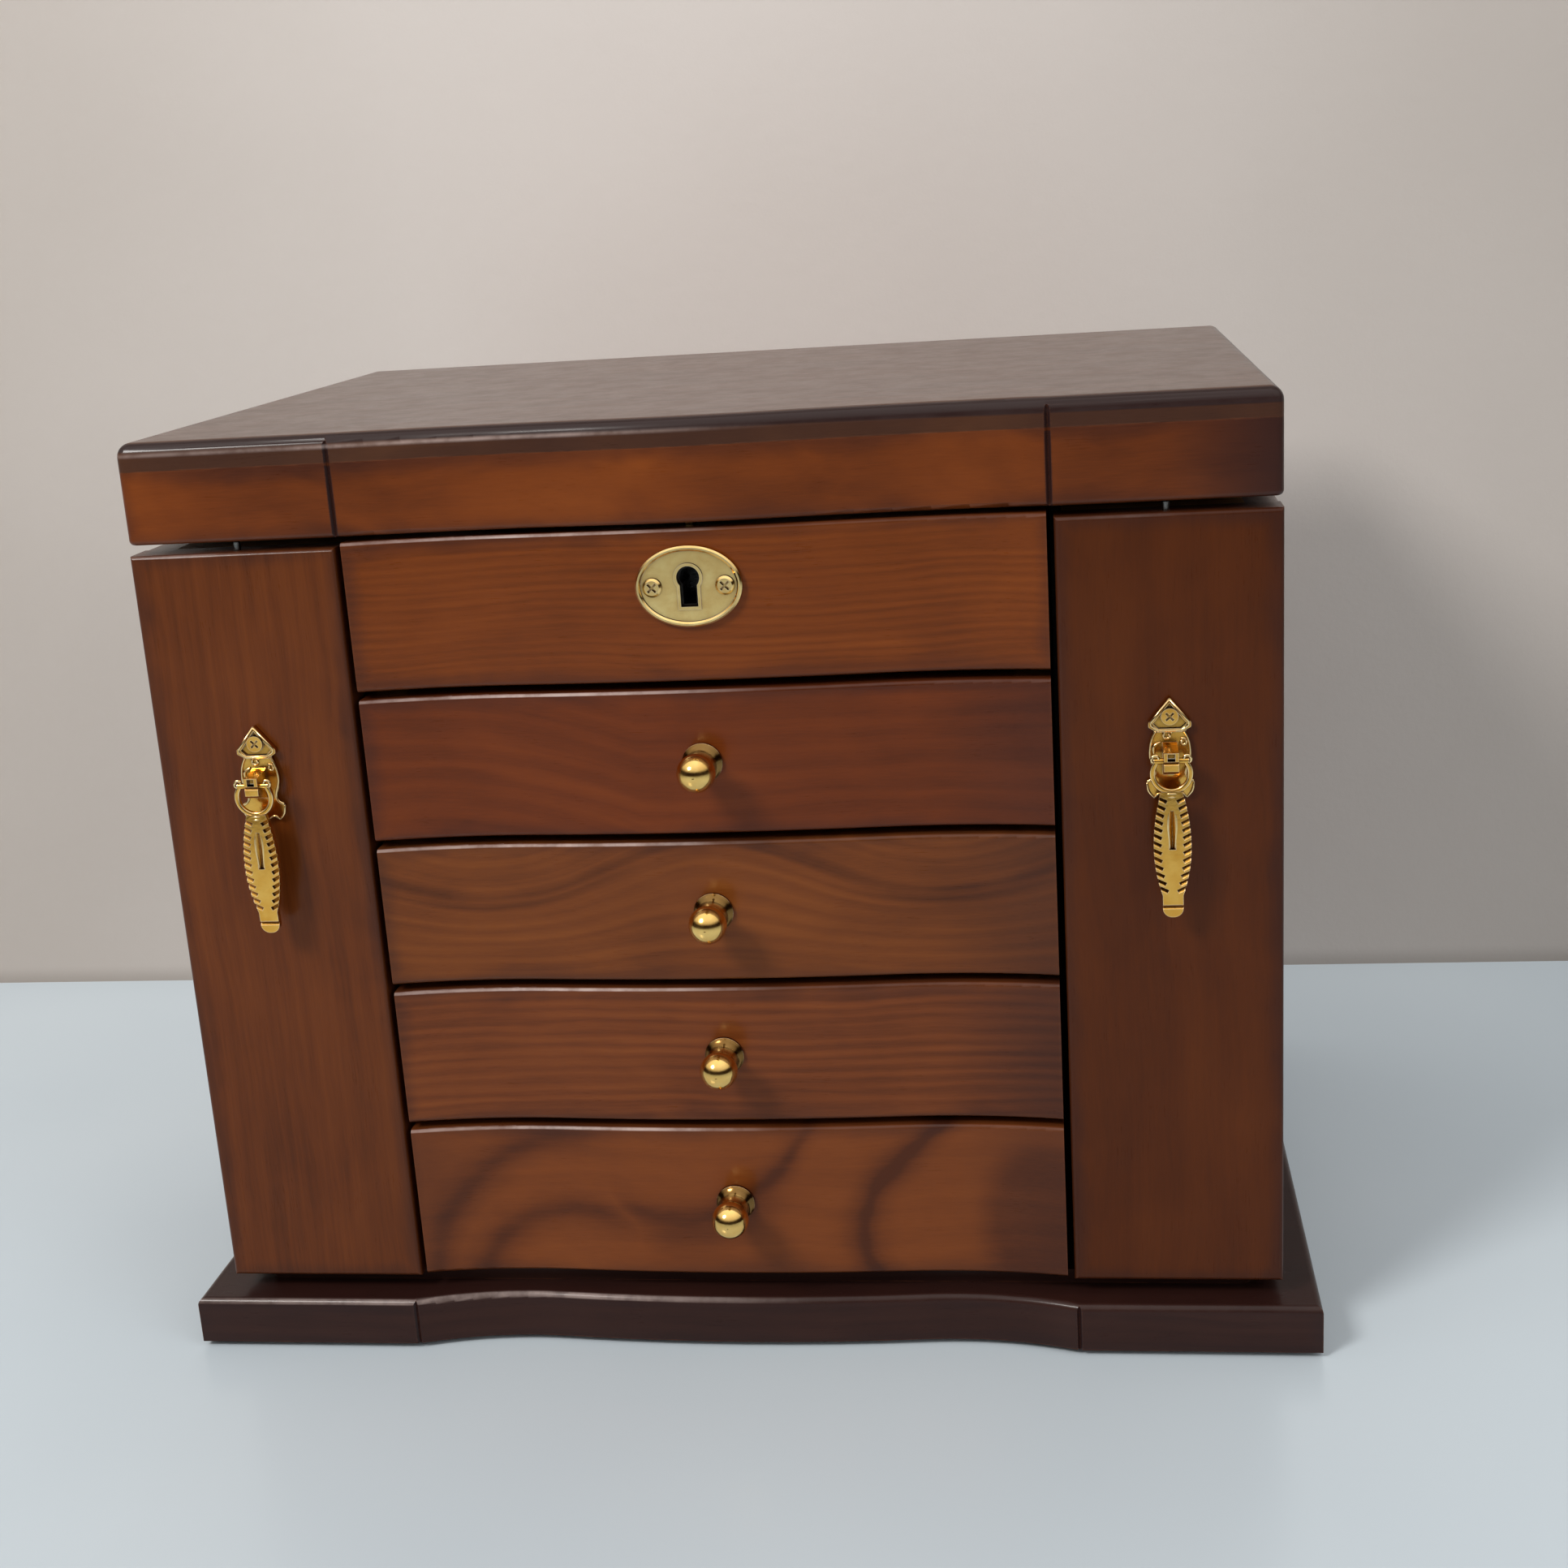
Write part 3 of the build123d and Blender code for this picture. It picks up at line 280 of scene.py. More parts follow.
def pale_wall():
    """Limewashed plaster with a painted pool of light in its middle and painted shade along
    the table, seen from the front only, and only by the camera and in reflections.
    """
    graph = material_graph("pale_wall")
    x, y, z = graph.axes()
    plaster = graph.noise((x / 9, y, z / 9), detail=5, rough=0.62)
    patches = graph.noise((x / 160, y, z / 160), detail=2)
    # Painted light: brighter in the middle of the wall and darker to both sides, with soft patches.
    lit = (x + 30).math("ABSOLUTE").smooth(0, 420, 1, 0) + (patches - 0.5) * 0.3
    lit_limewash = graph.mix(lit, srgb(198, 189, 182), srgb(233, 225, 220))
    # Painted shade along the foot of the wall, where it meets the table.
    near_table = z.smooth(0, 9, 0.35, 0)
    graph.finish(
        Base_Color=graph.mix(near_table, lit_limewash, srgb(120, 108, 98)),
        Roughness=0.8,
        Normal=graph.bump(plaster, 0.5, 0.5),
    )
    rays = graph.add("ShaderNodeLightPath").outputs
    seen = Field(graph, rays["Is Camera Ray"]) + Field(graph, rays["Is Glossy Ray"])
    behind = Field(graph, graph.add("ShaderNodeNewGeometry").outputs["Backfacing"])
    mixer = graph.add("ShaderNodeMixShader")
    clear = graph.add("ShaderNodeBsdfTransparent")
    graph.put(mixer.inputs[0], (seen - behind).math("GREATER_THAN", 0.5))
    graph.put(mixer.inputs[1], clear.outputs[0])
    graph.put(mixer.inputs[2], graph.shader.outputs[0])
    graph.put(graph.output.inputs["Surface"], mixer.outputs[0])
    return graph.owner


def make_stage():
    """A pale table and a pale wall behind it."""
    reach = STAGE_REACH
    table = [(-reach, -reach, 0), (reach, -reach, 0), (reach, reach, 0), (-reach, reach, 0)]
    wall = [(x, WALL_Y, z) for x, z in ((-reach, 0), (reach, 0), (reach, reach), (-reach, reach))]
    surfaces = ("floor", table, pale_table()), ("backdrop", wall, pale_wall())
    for name, corners, material in surfaces:
        mesh = bpy.data.meshes.new(name)
        mesh.from_pydata(corners, [], [(0, 1, 2, 3)])
        mesh.materials.append(material)
        add_object(name, mesh)


def make_light(name, place, size, power, colour, glossy=False):
    """A soft round lamp that shines at the box. Only a glossy one shows in reflections."""
    data = bpy.data.lights.new(name, "AREA")
    data.shape = "DISK"
    data.size = size
    data.energy = power
    data.color = colour
    light = add_object(name, data)
    light.location = place
    aim = Vector(LIGHT_TARGET) - Vector(place)
    light.rotation_euler = aim.to_track_quat("-Z", "Y").to_euler()
    light.visible_glossy = glossy
    light.visible_camera = False


def make_room():
    """Soft daylight from the upper left, and a plain room: bright above and darker below."""
    make_light("key", (-0.95, -1.25, 1.45), 0.55, 21.0, (1.0, 0.97, 0.93), glossy=True)
    make_light("fill", (1.3, -1.1, 0.8), 1.2, 6.0, (0.93, 0.97, 1.0))
    make_light("rear", (0.2, 1.6, 1.5), 1.0, 7.0, (1.0, 0.99, 0.97))
    world = bpy.data.worlds.new("room")
    bpy.context.scene.world = world
    graph = Graph(world, "ShaderNodeBackground", "ShaderNodeOutputWorld")
    direction = graph.parts(graph.add("ShaderNodeTexCoord").outputs["Generated"])
    height = direction[2] * 0.5 + 0.5
    even = graph.ramp(
        height,
        (0.0, srgb(190, 188, 184)),
        (0.47, srgb(120, 112, 104)),
        (0.53, srgb(96, 88, 80)),
        (0.62, srgb(150, 142, 134)),
        (0.8, srgb(210, 208, 204)),
        (1.0, srgb(225, 224, 222)),
    )
    mirrored = graph.ramp(
        height,
        (0.0, srgb(190, 188, 184)),
        (0.49, srgb(84, 70, 58)),
        (0.55, srgb(30, 22, 18)),
        (0.64, srgb(58, 46, 38)),
        (0.74, srgb(240, 232, 224)),
        (1.0, (1.6, 1.55, 1.5, 1.0)),
    )
    rays = graph.add("ShaderNodeLightPath").outputs
    lit = graph.mix(rays["Is Glossy Ray"], even, mirrored)
    graph.finish(Color=graph.mix(rays["Is Camera Ray"], lit, srgb(214, 208, 201)), Strength=0.85)
    bpy.context.scene.view_settings.view_transform = "Standard"


# ---------------------------------------------------------------- stained wood

GRAIN_AXES = {"x": "xzy", "z": "zxy", "flat": "xyz"}      # along, across and into the board
DARK_SHARE = (0.40, 0.38, 0.55, 1.0)
LIGHT_SHARE = (1.50, 1.62, 1.60, 1.0)
# Dark tinted lacquer that also stands for painted shade and a painted dark reflection.
TONER_AND_SHADE = srgb(40, 24, 24)
# Edge wear that also stands for a painted highlight.
RUBBED_AND_HIGHLIGHT = srgb(150, 88, 52)
# A painted highlight.
EDGE_HIGHLIGHT = srgb(240, 216, 208)
# Painted shade inside a hole.
BORE_SHADE = srgb(10, 6, 5)
CREST_LENGTH = 140.0


def straight(along, across):
    """Grain lines that run with the board, in slow shallow waves."""
    return across + (along / 21).math("SINE") * 0.7


def fan(along, across):
    """Lines that leave the left end level and then bend down to the right, as on the top drawer."""
    reach = (along + 91).math("MAXIMUM", 0.0).math("MINIMUM", 71.0)
    return across + reach * reach * 0.0028


def waves(along, across):
    """A crest at the middle between two dips, strong at the top edge and faint at the bottom."""
    height = across.smooth(-22, 20, 2.0, 10.0)
    return across - height * (along * (math.tau / CREST_LENGTH)).math("COSINE")


def soft_figure(along, across):
    """A faint lazy wave."""
    return across + (along / 47).math("SINE") * 4


class Board:
    """The graph of a wooden piece. Places on it are measured from its middle, in millimetres."""

    def __init__(self, name, node, grain, seed):
        self.graph = graph = material_graph(name)
        self.seed = seed
        low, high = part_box(node)
        self.half = half = (high - low) / (2 * MM)
        self.x, self.y, self.z = graph.axes((low + high) / 2)
        self.along, self.across, self.depth = (getattr(self, axis) for axis in GRAIN_AXES[grain])
        self.half_along, self.half_across = (getattr(half, axis) for axis in GRAIN_AXES[grain][:2])
        along, across, depth = self.along, self.across, self.depth
        self.wander = graph.noise((along / 55 + seed, across / 28, depth / 40), detail=2) - 0.5
        fibre = (along / 7, across * 2.6 + seed, depth * 2.6)
        self.fibre = graph.noise(fibre, detail=2, rough=0.65)
        cloud = (along / 46 + seed, across / 26, depth / 26)
        self.cloud = graph.noise(cloud, detail=3, rough=0.55, warp=0.4)
        self.uneven = (self.cloud - 0.5) * 9
        scuff = (self.x / 14 + seed, self.y / 14, self.z / 14)
        self.scuffs = graph.noise(scuff, detail=4, rough=0.7)
        self.below_top = (self.z - half.z).math("ABSOLUTE")

    def grain(self, figure, pitch, warp, bands, streak, line, blotch):
        """The tone of the wood, which is 0.5 at its middle colour, and its fine lines."""
        noise_at = self.graph.noise
        along, depth, seed = self.along, self.depth, self.seed
        ring = figure(along, self.across) + self.wander * warp
        slow = noise_at((along / 110, ring / (1.6 * pitch), depth / 30 + seed), detail=2, rough=0.6)
        fine = noise_at((along / 42 + seed, ring / 1.5, depth / 9), detail=2, rough=0.55)
        wave = (ring * (math.tau / pitch) + (slow - 0.5) * 5).math("SINE")
        wave = wave * slow.smooth(0.3, 0.7, 0.5, 1.4)
        tone = (
            0.5
            + wave * bands
            + (slow - 0.5) * streak
            + (fine - 0.5) * line
            + (self.fibre - 0.5) * 0.2
            + (self.cloud - 0.5) * blotch
        )
        return tone, fine

    def darkening_mask(self, edges, right_end, left_end, top_band, grooves):
        """How much darkening there is: dark tinted lacquer and painted shade round the edges and at
        the ends, a painted dark reflection under the top and painted shade in the grooves.
        """
        x, along, uneven = self.x, self.along, self.uneven
        to_side = self.half_across - self.across.math("ABSOLUTE")
        to_edge = to_side.math("MINIMUM", self.half_along - along.math("ABSOLUTE"))
        # Dark tinted lacquer and painted shade round the edges.
        amounts = [(to_edge + uneven).smooth(0.0, 6.0, edges, 0)]
        ragged = along + uneven * 2
        end = self.half_along
        # Dark tinted lacquer and painted shade at the ends.
        if right_end:
            amounts.append(ragged.smooth(end - 42, end, 0, right_end))
        if left_end:
            amounts.append(ragged.smooth(-end, 34 - end, left_end, 0))
        # A painted dark reflection on the rounded edge under the top.
        if top_band:
            width = (x + uneven * 2).smooth(-self.half.x, self.half.x, 2.2, 4.2)
            faded = (self.below_top - width).smooth(0, 1.0, top_band, 0)
            amounts.append(self.below_top.smooth(0.05, 0.5) * faded)
        # Painted shade in the V-grooves.
        if grooves:
            cut = (x.math("ABSOLUTE") - grooves).math("ABSOLUTE").smooth(0.7, 1.3, 0.95, 0)
            in_front = self.y.smooth(-20, 0, 1, 0)
            amounts.append(cut * in_front * self.below_top.smooth(0.4, 1.0))
        most = amounts[0]
        for amount in amounts[1:]:
            most = most.math("MAXIMUM", amount)
        return most

    def highlight_strength(self):
        """How bright the painted highlight on a top edge is: in patches on the left, gone right of
        the middle.
        """
        x, reach = self.x, self.half.x
        fading = (x + self.uneven * 3).smooth(-0.3 * reach, 0.2 * reach, 1.0, 0.04)
        rising = x.smooth(-0.95 * reach, -0.45 * reach, 0.55, 1.0)
        return fading * rising * self.scuffs.smooth(0.3, 0.65, 0.35, 0.9)


def wood(name, node, grain, tint, figure=straight, pitch=5.0, bands=0.05, streak=0.25, line=0.3,
         blotch=0.5, warp=4.0, seed=0.0, marks=None, edge_darkening=0.4, right_end=0.0, left_end=0.0,
         top_band=0.0, grooves=0.0, patches=(), top_line=0.0, bore=None, coat=0.3, gloss=0.2,
         shine=0.1):
    """Stained and lacquered wood, of the given middle colour.

    The figure bends the grain: bands are its broad regular lines at the given pitch, streaks its
    slow changes and lines its fine ones. Blotches are soft clouds and warp is how far the grain
    strays. Marks add the bold dark lines of one board. Patches are (place along the grain, half
    its width, change of tone). The edge darkening is dark tinted lacquer and painted shade round
    the edges, and the ends are darker still with both. The top band is a painted dark reflection
    under the top, with a painted highlight below it. Grooves is how far the pair of V-grooves is
    from the middle; they are painted in shade. The top line is how bright the painted highlight
    along the upper edge is. A bore is a hole in the middle whose walls are painted in shade: its
    level and radius.
    """
    board = Board(name, node, grain, seed)
    graph = board.graph
    tone, fine = board.grain(figure, pitch, warp, bands, streak, line, blotch)
    if marks:
        tone = tone - marks(board.along + board.wander * 9, board.across + board.uneven * 0.5)
    for centre, width, change in patches:
        tone = tone + (board.along + board.uneven * 2).band(centre, width) * change
    middle = srgb(*tint)
    dark = [value * share for value, share in zip(middle, DARK_SHARE)]
    light = [value * share for value, share in zip(middle, LIGHT_SHARE)]
    wood_colour = graph.ramp(tone, (0.1, dark), (0.5, middle), (0.9, light))
    # Dark tinted lacquer and painted shade, with a painted dark reflection under the top.
    wood_colour = graph.mix(board.darkening_mask(edge_darkening, right_end, left_end, top_band, grooves), wood_colour, TONER_AND_SHADE)
    # Paler along the sharp edges: edge wear and a painted highlight.
    wear_and_highlight = graph.edge_nearness(0.7) * board.fibre.smooth(0.35, 0.75, 0.0, 0.35)
    wood_colour = graph.mix(wear_and_highlight, wood_colour, RUBBED_AND_HIGHLIGHT)
    # A painted highlight along the rounded top edge, where it turns up to the light.
    if top_line:
        rise = graph.parts(graph.normals())[2]
        rim = rise.smooth(0.12, 0.4) * rise.smooth(0.8, 0.97, 1, 0)
        wood_colour = graph.mix(rim * board.highlight_strength() * top_line, wood_colour, EDGE_HIGHLIGHT)
    # A painted highlight on the lower part of the rounded edge under the top.
    if top_band:
        rim = board.below_top.band(3.7, 1.0)
        wood_colour = graph.mix(rim * board.highlight_strength() * 0.4, wood_colour, EDGE_HIGHLIGHT)
    # Painted shade on the walls of the keyhole.
    if bore:
        level, radius = bore
        drop = board.z - level
        from_hole = (board.x * board.x + drop * drop).math("SQRT")
        wood_colour = graph.mix(from_hole.smooth(radius - 0.5, radius, 1, 0), wood_colour, BORE_SHADE)
    smears = board.scuffs * 0.5 + board.fibre * 0.5
    return graph.finish(
        Base_Color=wood_colour,
        Roughness=smears.smooth(0.3, 0.7, gloss + 0.06, gloss + 0.22),
        Specular_IOR_Level=shine,
        Normal=graph.bump(fine * 0.5 + board.fibre * 0.5, 0.05, 0.35),
        Coat_Weight=coat,
        Coat_Roughness=gloss * 0.85,
    )


def crest_line(along, across):
    """The one bold line of the second drawer: over the middle, under both ends."""
    level = (along * (math.tau / CREST_LENGTH)).math("COSINE") * 10 + 13
    return (across - level).band(0, 5.5) * 0.2


def crotch_figure(along, across):
    """Bold dark bands round two pale eyes, as where a board is cut through a fork of the tree."""

    def oval(centre_along, centre_across, radius_along, radius_across):
        reach = ((along - centre_along) / radius_along).math("POWER", 2.0)
        rise = ((across - centre_across) / radius_across).math("POWER", 2.0)
        return ((reach + rise).math("SQRT") - 1) * radius_across

    def drawn(distance, fade=1.0):
        return (distance.band(0, 11.0) * 0.65 + distance.band(0, 5.0) * 0.35) * fade

    left_only = along.smooth(-44, -26, 1, 0)
    inner = drawn(oval(-52, -28, 31, 25), left_only)
    outer = drawn(oval(-50, -30, 50, 53), along.smooth(-60, -30, 0.9, 0))
    valley = across - ((along + 18).math("POWER", 2.0) * 0.017 - 6.5)
    saddle = drawn(valley, along.smooth(-44, -30) * along.smooth(18, 34, 1, 0.2))
    under = valley.smooth(-20, -2, 0.1, 0.75) * valley.smooth(-2, 2, 1, 0) * along.smooth(-38, -20)
    under = under * along.smooth(2, 20, 1, 0)
    rise = along - ((across + 12).math("POWER", 2.0) * 0.018 + 42)
    right = drawn(rise) + rise.smooth(-18, -1, 0, 0.35) * rise.smooth(-1, 2, 1, 0)
    core = oval(98, -8, 15, 20).smooth(0, 14, 0.75, 0)
    dark = inner.math("MAXIMUM", outer).math("MAXIMUM", saddle).math("MAXIMUM", under)
    return dark.math("MAXIMUM", right).math("MAXIMUM", core) * 0.36


# ---------------------------------------------------------------- other finishes

def brass(name, tint=(250, 212, 126), deep=(104, 54, 10), gloss=0.08, casting=0.02, reach=1.6,
          rim=0.6, rim_width=0.25, rim_tint=(255, 236, 206), seat=None):
    """Lacquered brass, with painted shade in its hollows and a painted highlight along its rims.

    Casting is how rippled it is. The reach of a hollow, the width of a rim and the seat are in
    millimetres. The seat is the Y of the wood behind, close to which the brass is painted in shade.
    """
    graph = material_graph(name)
    x, y, z = graph.axes()
    ripple = graph.noise((x / 1.3, y / 1.3, z / 1.3), detail=2)
    cloud = graph.noise((x / 6, y / 6, z / 6), detail=3, rough=0.6)
    # Painted shade in the hollows.
    shade = graph.openness(reach).smooth(0.25, 0.95)
    aged = [value - change for value, change in zip(tint, (12, 22, 26))]
    warm = graph.ramp(cloud, (0.3, srgb(*tint)), (0.75, srgb(*aged)))
    # A painted highlight along the rims.
    wear_and_highlight = graph.edge_nearness(rim_width, 0.3)
    # Painted shade close to the wood behind.
    if seat is not None:
        shade = shade * y.smooth(seat - 3.2, seat - 1.9, 1, 0.25)
    colour = graph.mix(shade, srgb(*deep), warm)
    return graph.finish(
        Base_Color=graph.mix(wear_and_highlight * rim, colour, srgb(*rim_tint)),
        Metallic=1.0,
        Roughness=cloud.smooth(0.25, 0.8, gloss, gloss + 0.14),
        Normal=graph.bump(ripple, casting, 0.6),
    )


def steel(name):
    """Zinc-plated steel, brushed along its length, with painted shade in its hollows."""
    graph = material_graph(name)
    x, y, z = graph.axes()
    brushed = graph.noise((x / 6, y * 3, z * 3), detail=3)
    spots = graph.noise((x / 4, y / 4, z / 4), detail=3, rough=0.7)
    # Painted shade in the hollows.
    open_face = graph.openness(8).smooth(0.3, 0.8)
    plate = graph.ramp(spots, (0.3, srgb(176, 176, 172)), (0.7, srgb(200, 200, 198)))
    return graph.finish(
        Base_Color=graph.mix(open_face, srgb(12, 10, 9), plate),
        Metallic=1.0,
        Roughness=brushed.smooth(0.3, 0.7, 0.24, 0.42),
        Normal=graph.bump(brushed, 0.02, 0.5),
    )


def silvered_glass(name):
    """Mirror glass with the faintest smears, greener along its edges."""
    graph = material_graph(name)
    low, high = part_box("mirror")
    half = (high - low) / (2 * MM)
    x, y, z = graph.axes((low + high) / 2)
    to_edge = (half.x - x.math("ABSOLUTE")).math("MINIMUM", half.y - y.math("ABSOLUTE"))
    smear = graph.noise((x / 60, y / 25, z), detail=4, rough=0.6)
    edge = to_edge.smooth(0, 2.5, 0.8, 0)
    return graph.finish(
        Base_Color=graph.mix(edge, srgb(240, 243, 242), srgb(170, 200, 188)),
        Metallic=1.0,
        Roughness=smear.smooth(0.45, 0.8, 0.004, 0.05),
    )


def rubber(name):
    """Clear soft plastic, a little cloudy."""
    graph = material_graph(name)
    x, y, z = graph.axes()
    cloud = graph.noise((x / 2, y / 2, z / 2), detail=3)
    return graph.finish(
        Base_Color=graph.ramp(cloud, (0.3, srgb(206, 208, 202)), (0.7, srgb(226, 228, 224))),
        Roughness=cloud.smooth(0.3, 0.7, 0.25, 0.4),
        Transmission_Weight=0.55,
        IOR=1.45,
        Normal=graph.bump(cloud, 0.05, 0.5),
    )


def velvet(name, pile, shadow, nap=1.0):
    """Short pile that shows lighter where it was stroked."""
    graph = material_graph(name)
    x, y, z = graph.axes()
    tuft = graph.noise((x * 2.4, y * 2.4, z * 2.4), detail=2, rough=0.7)
    stroke = graph.noise((x / 22, y / 14, z / 14), detail=4, rough=0.62, warp=0.8)
    tone = 0.5 + (tuft - 0.5) * 0.8 + (stroke - 0.5) * 0.75 * nap
    return graph.finish(
        Base_Color=graph.ramp(tone, (0.15, shadow), (0.85, pile)),
        Roughness=0.92,
        Specular_IOR_Level=0.2,
        Sheen_Weight=0.55,
        Sheen_Roughness=0.4,
        Sheen_Tint=(1.0, 0.93, 0.82, 1.0),
        Normal=graph.bump(tuft, 0.25, 0.6),
    )


# ---------------------------------------------------------------- meshes

SMALLEST_RADIUS = 0.02 * MM


def rounded_loop(low, high, inset, radius, level, corner_steps=5, side_steps=12):
    """Points round a rounded rectangle in a level plane, the same number for every inset."""
    left, right = low.x + inset, high.x - inset
    near, far = low.y + inset, high.y - inset
    radius = max(min(radius, (right - left) / 2, (far - near) / 2), SMALLEST_RADIUS)
    corners = (
        (right - radius, far - radius, 0),
        (left + radius, far - radius, 90),
        (left + radius, near + radius, 180),
        (right - radius, near + radius, 270),
    )

    def on_corner(number, turn):
        x, y, start = corners[number % 4]
        angle = math.radians(start + turn)
        return Vector((x + radius * math.cos(angle), y + radius * math.sin(angle), level))

    points = []
    for number in range(4):
        points += [on_corner(number, 90 * step / corner_steps) for step in range(corner_steps + 1)]
        begin, end = points[-1], on_corner(number + 1, 0)
        points += [begin.lerp(end, step / side_steps) for step in range(1, side_steps)]
    return points


def bridge(mesh, loops):
    """A closed skin over a stack of loops that have as many points each, with both ends capped."""
    rows = [[mesh.verts.new(point) for point in loop] for loop in loops]
    for lower, upper in zip(rows, rows[1:]):
        for index in range(len(lower)):
            following = (index + 1) % len(lower)
            mesh.faces.new((lower[index], lower[following], upper[following], upper[index]))
    mesh.faces.new(list(reversed(rows[0])))
    mesh.faces.new(rows[-1])


def smooth_piece(name, mesh, material):
    """An object in the scene from a bmesh, which is freed."""
    bmesh.ops.recalc_face_normals(mesh, faces=mesh.faces)
    data = bpy.data.meshes.new(name)
    mesh.to_mesh(data)
    mesh.free()
    data.materials.append(material)
    data.shade_smooth()
    return add_object(name, data)


def skin(name, loops, material):
    """A piece whose surface is a closed skin over a stack of loops."""
    mesh = bmesh.new()
    bridge(mesh, loops)
    return smooth_piece(name, mesh, material)


def shrunk(loop, share, level):
    """A loop drawn in towards its middle."""
    middle = sum(loop, Vector()) / len(loop)
    return [
        Vector((middle.x + (p.x - middle.x) * share, middle.y + (p.y - middle.y) * share, level))
        for p in loop
    ]


def ripple(piece, height, size, low, high, seed=0):
    """Moves the points of a soft piece in and out a little, but never out of its own box."""
    for vertex in piece.data.vertices:
        place = vertex.co / size + Vector((seed, 0, 0))
        moved = vertex.co + noise.noise_vector(place) * height
        for axis in range(3):
            moved[axis] = min(max(moved[axis], low[axis]), high[axis])
        vertex.co = moved


def padded_bar(low, high, edge, side_steps):
    """Loops of a bar with soft round edges above and below."""
    quarter = [math.pi / 2 * step / 4 for step in range(5)]
    turns = [(angle, low.z, 1) for angle in quarter]
    turns += [(angle, high.z, -1) for angle in reversed(quarter)]
    loops = []
    for angle, end, toward in turns:
        inset = edge * (1 - math.sin(angle))
        level = end + toward * edge * (1 - math.cos(angle))
        loops.append(rounded_loop(low, high, inset, edge, level, 4, side_steps))
    return loops


# ---------------------------------------------------------------- carving on the drop pulls

# One raised bead: points are (right, up, out) from the pull's pivot and its seat, in millimetres.
Stroke = namedtuple("Stroke", "points radius tapered")

PIVOT_REACH = 8.0           # from the seat of a pull to the axis of its ring
RING_CENTRE = (0, -3.6)
BEAD_SIDES = 8


def spiral(centre, wide, narrow, start, turn, out, steps=14):
    """Points of a scroll whose radius goes from wide to narrow over a turn given in degrees."""
    points = []
    for step in range(steps + 1):
        share = step / steps
        angle = math.radians(start + turn * share)
        radius = wide + (narrow - wide) * share
        points.append(
            (centre[0] + radius * math.cos(angle), centre[1] + radius * math.sin(angle), out)
        )
    return points


def rounded_path(points, steps=5):
    """Points along a smooth curve (a Catmull-Rom spline) through the given ones."""
    ends = [points[0], *points, points[-1]]
    path = []
    for before, begin, end, after in zip(ends, ends[1:], ends[2:], ends[3:]):
        for t in (step / steps for step in range(steps)):
            weights = (
                (-t + 2 * t**2 - t**3) / 2,
                (2 - 5 * t**2 + 3 * t**3) / 2,
                (t + 4 * t**2 - 3 * t**3) / 2,
                (-(t**2) + t**3) / 2,
            )
            path.append(
                [
                    sum(weight * value for weight, value in zip(weights, values))
                    for values in zip(before, begin, end, after)
                ]
            )
    path.append(list(points[-1]))
    return path


def bead_loops(path, radius, tapered):
    """Rings of points round a path, smaller at its ends if it is tapered."""
    loops = []
    last = len(path) - 1
    for index, point in enumerate(path):
        way = (path[min(index + 1, last)] - path[max(index - 1, 0)]).normalized()
        side = way.cross(Vector((0, 1, 0))).normalized()
        lift = side.cross(way)
        here = radius
        if tapered:
            here *= 0.45 + 0.55 * math.sin(math.pi * index / last)
        angles = [math.tau * step / BEAD_SIDES for step in range(BEAD_SIDES)]
        loops.append(
            [point + (side * math.cos(angle) + lift * math.sin(angle)) * here for angle in angles]
        )
    return loops


def carving(name, pivot, body, strokes, material):
    """The raised beads on one part of a pull, as one piece."""
    mesh = bmesh.new()
    seat = pivot + Vector((0, PIVOT_REACH, 0)) * MM
    for points, radius, tapered in strokes:
        path = [seat + Vector((right, -out, up)) * MM for right, up, out in points]
        bridge(mesh, bead_loops(path, radius * MM, tapered))
    piece = smooth_piece(name, mesh, material)
    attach(piece, body)


def both_sides(points):
    """The points as they are, and mirrored left to right."""
    return points, [(-right, up, out) for right, up, out in points]


def plate_strokes():
    """The rim of the spade, its curls and leaf, the plate's edges and the two leaf tips."""
    spade = [(0, 16.7), (5.4, 10.1), (5.3, 9.0), (3.2, 7.5), (-3.2, 7.5), (-5.3, 9.0), (-5.4, 10.1)]
    strokes = [
        Stroke([(right, up, 2.2) for right, up in [*spade, spade[0]]], 0.42, False),
        Stroke(spiral((-0.7, 5.9), 1.5, 0.5, 30, 400, 1.7), 0.42, False),
        Stroke(spiral((3.7, 3.9), 1.2, 0.4, 120, -380, 1.7), 0.4, False),
        Stroke(rounded_path([(-4.6, 0.4, 1.6), (-4.5, 2.8, 1.8), (-2.6, 4.1, 1.8)]), 0.5, True),
    ]
    edge = [(4.0, 7.2), (5.0, 5.2), (5.5, 2.8), (5.6, -0.6), (4.4, -4.6), (5.0, -6.8), (6.6, -7.8)]
    outer_leaf = [(6.7, -8.1), (6.2, -10.7), (4.7, -12.6)]
    inner_leaf = [(1.5, -12.2), (3.3, -11.5), (4.6, -12.6)]
    for line, radius, tapered in (
        (edge, 0.42, False), (outer_leaf, 0.4, True), (inner_leaf, 0.35, True)
    ):
        for side in both_sides([(right, up, 1.6) for right, up in line]):
            strokes.append(Stroke(rounded_path(side), radius, tapered))
    return strokes


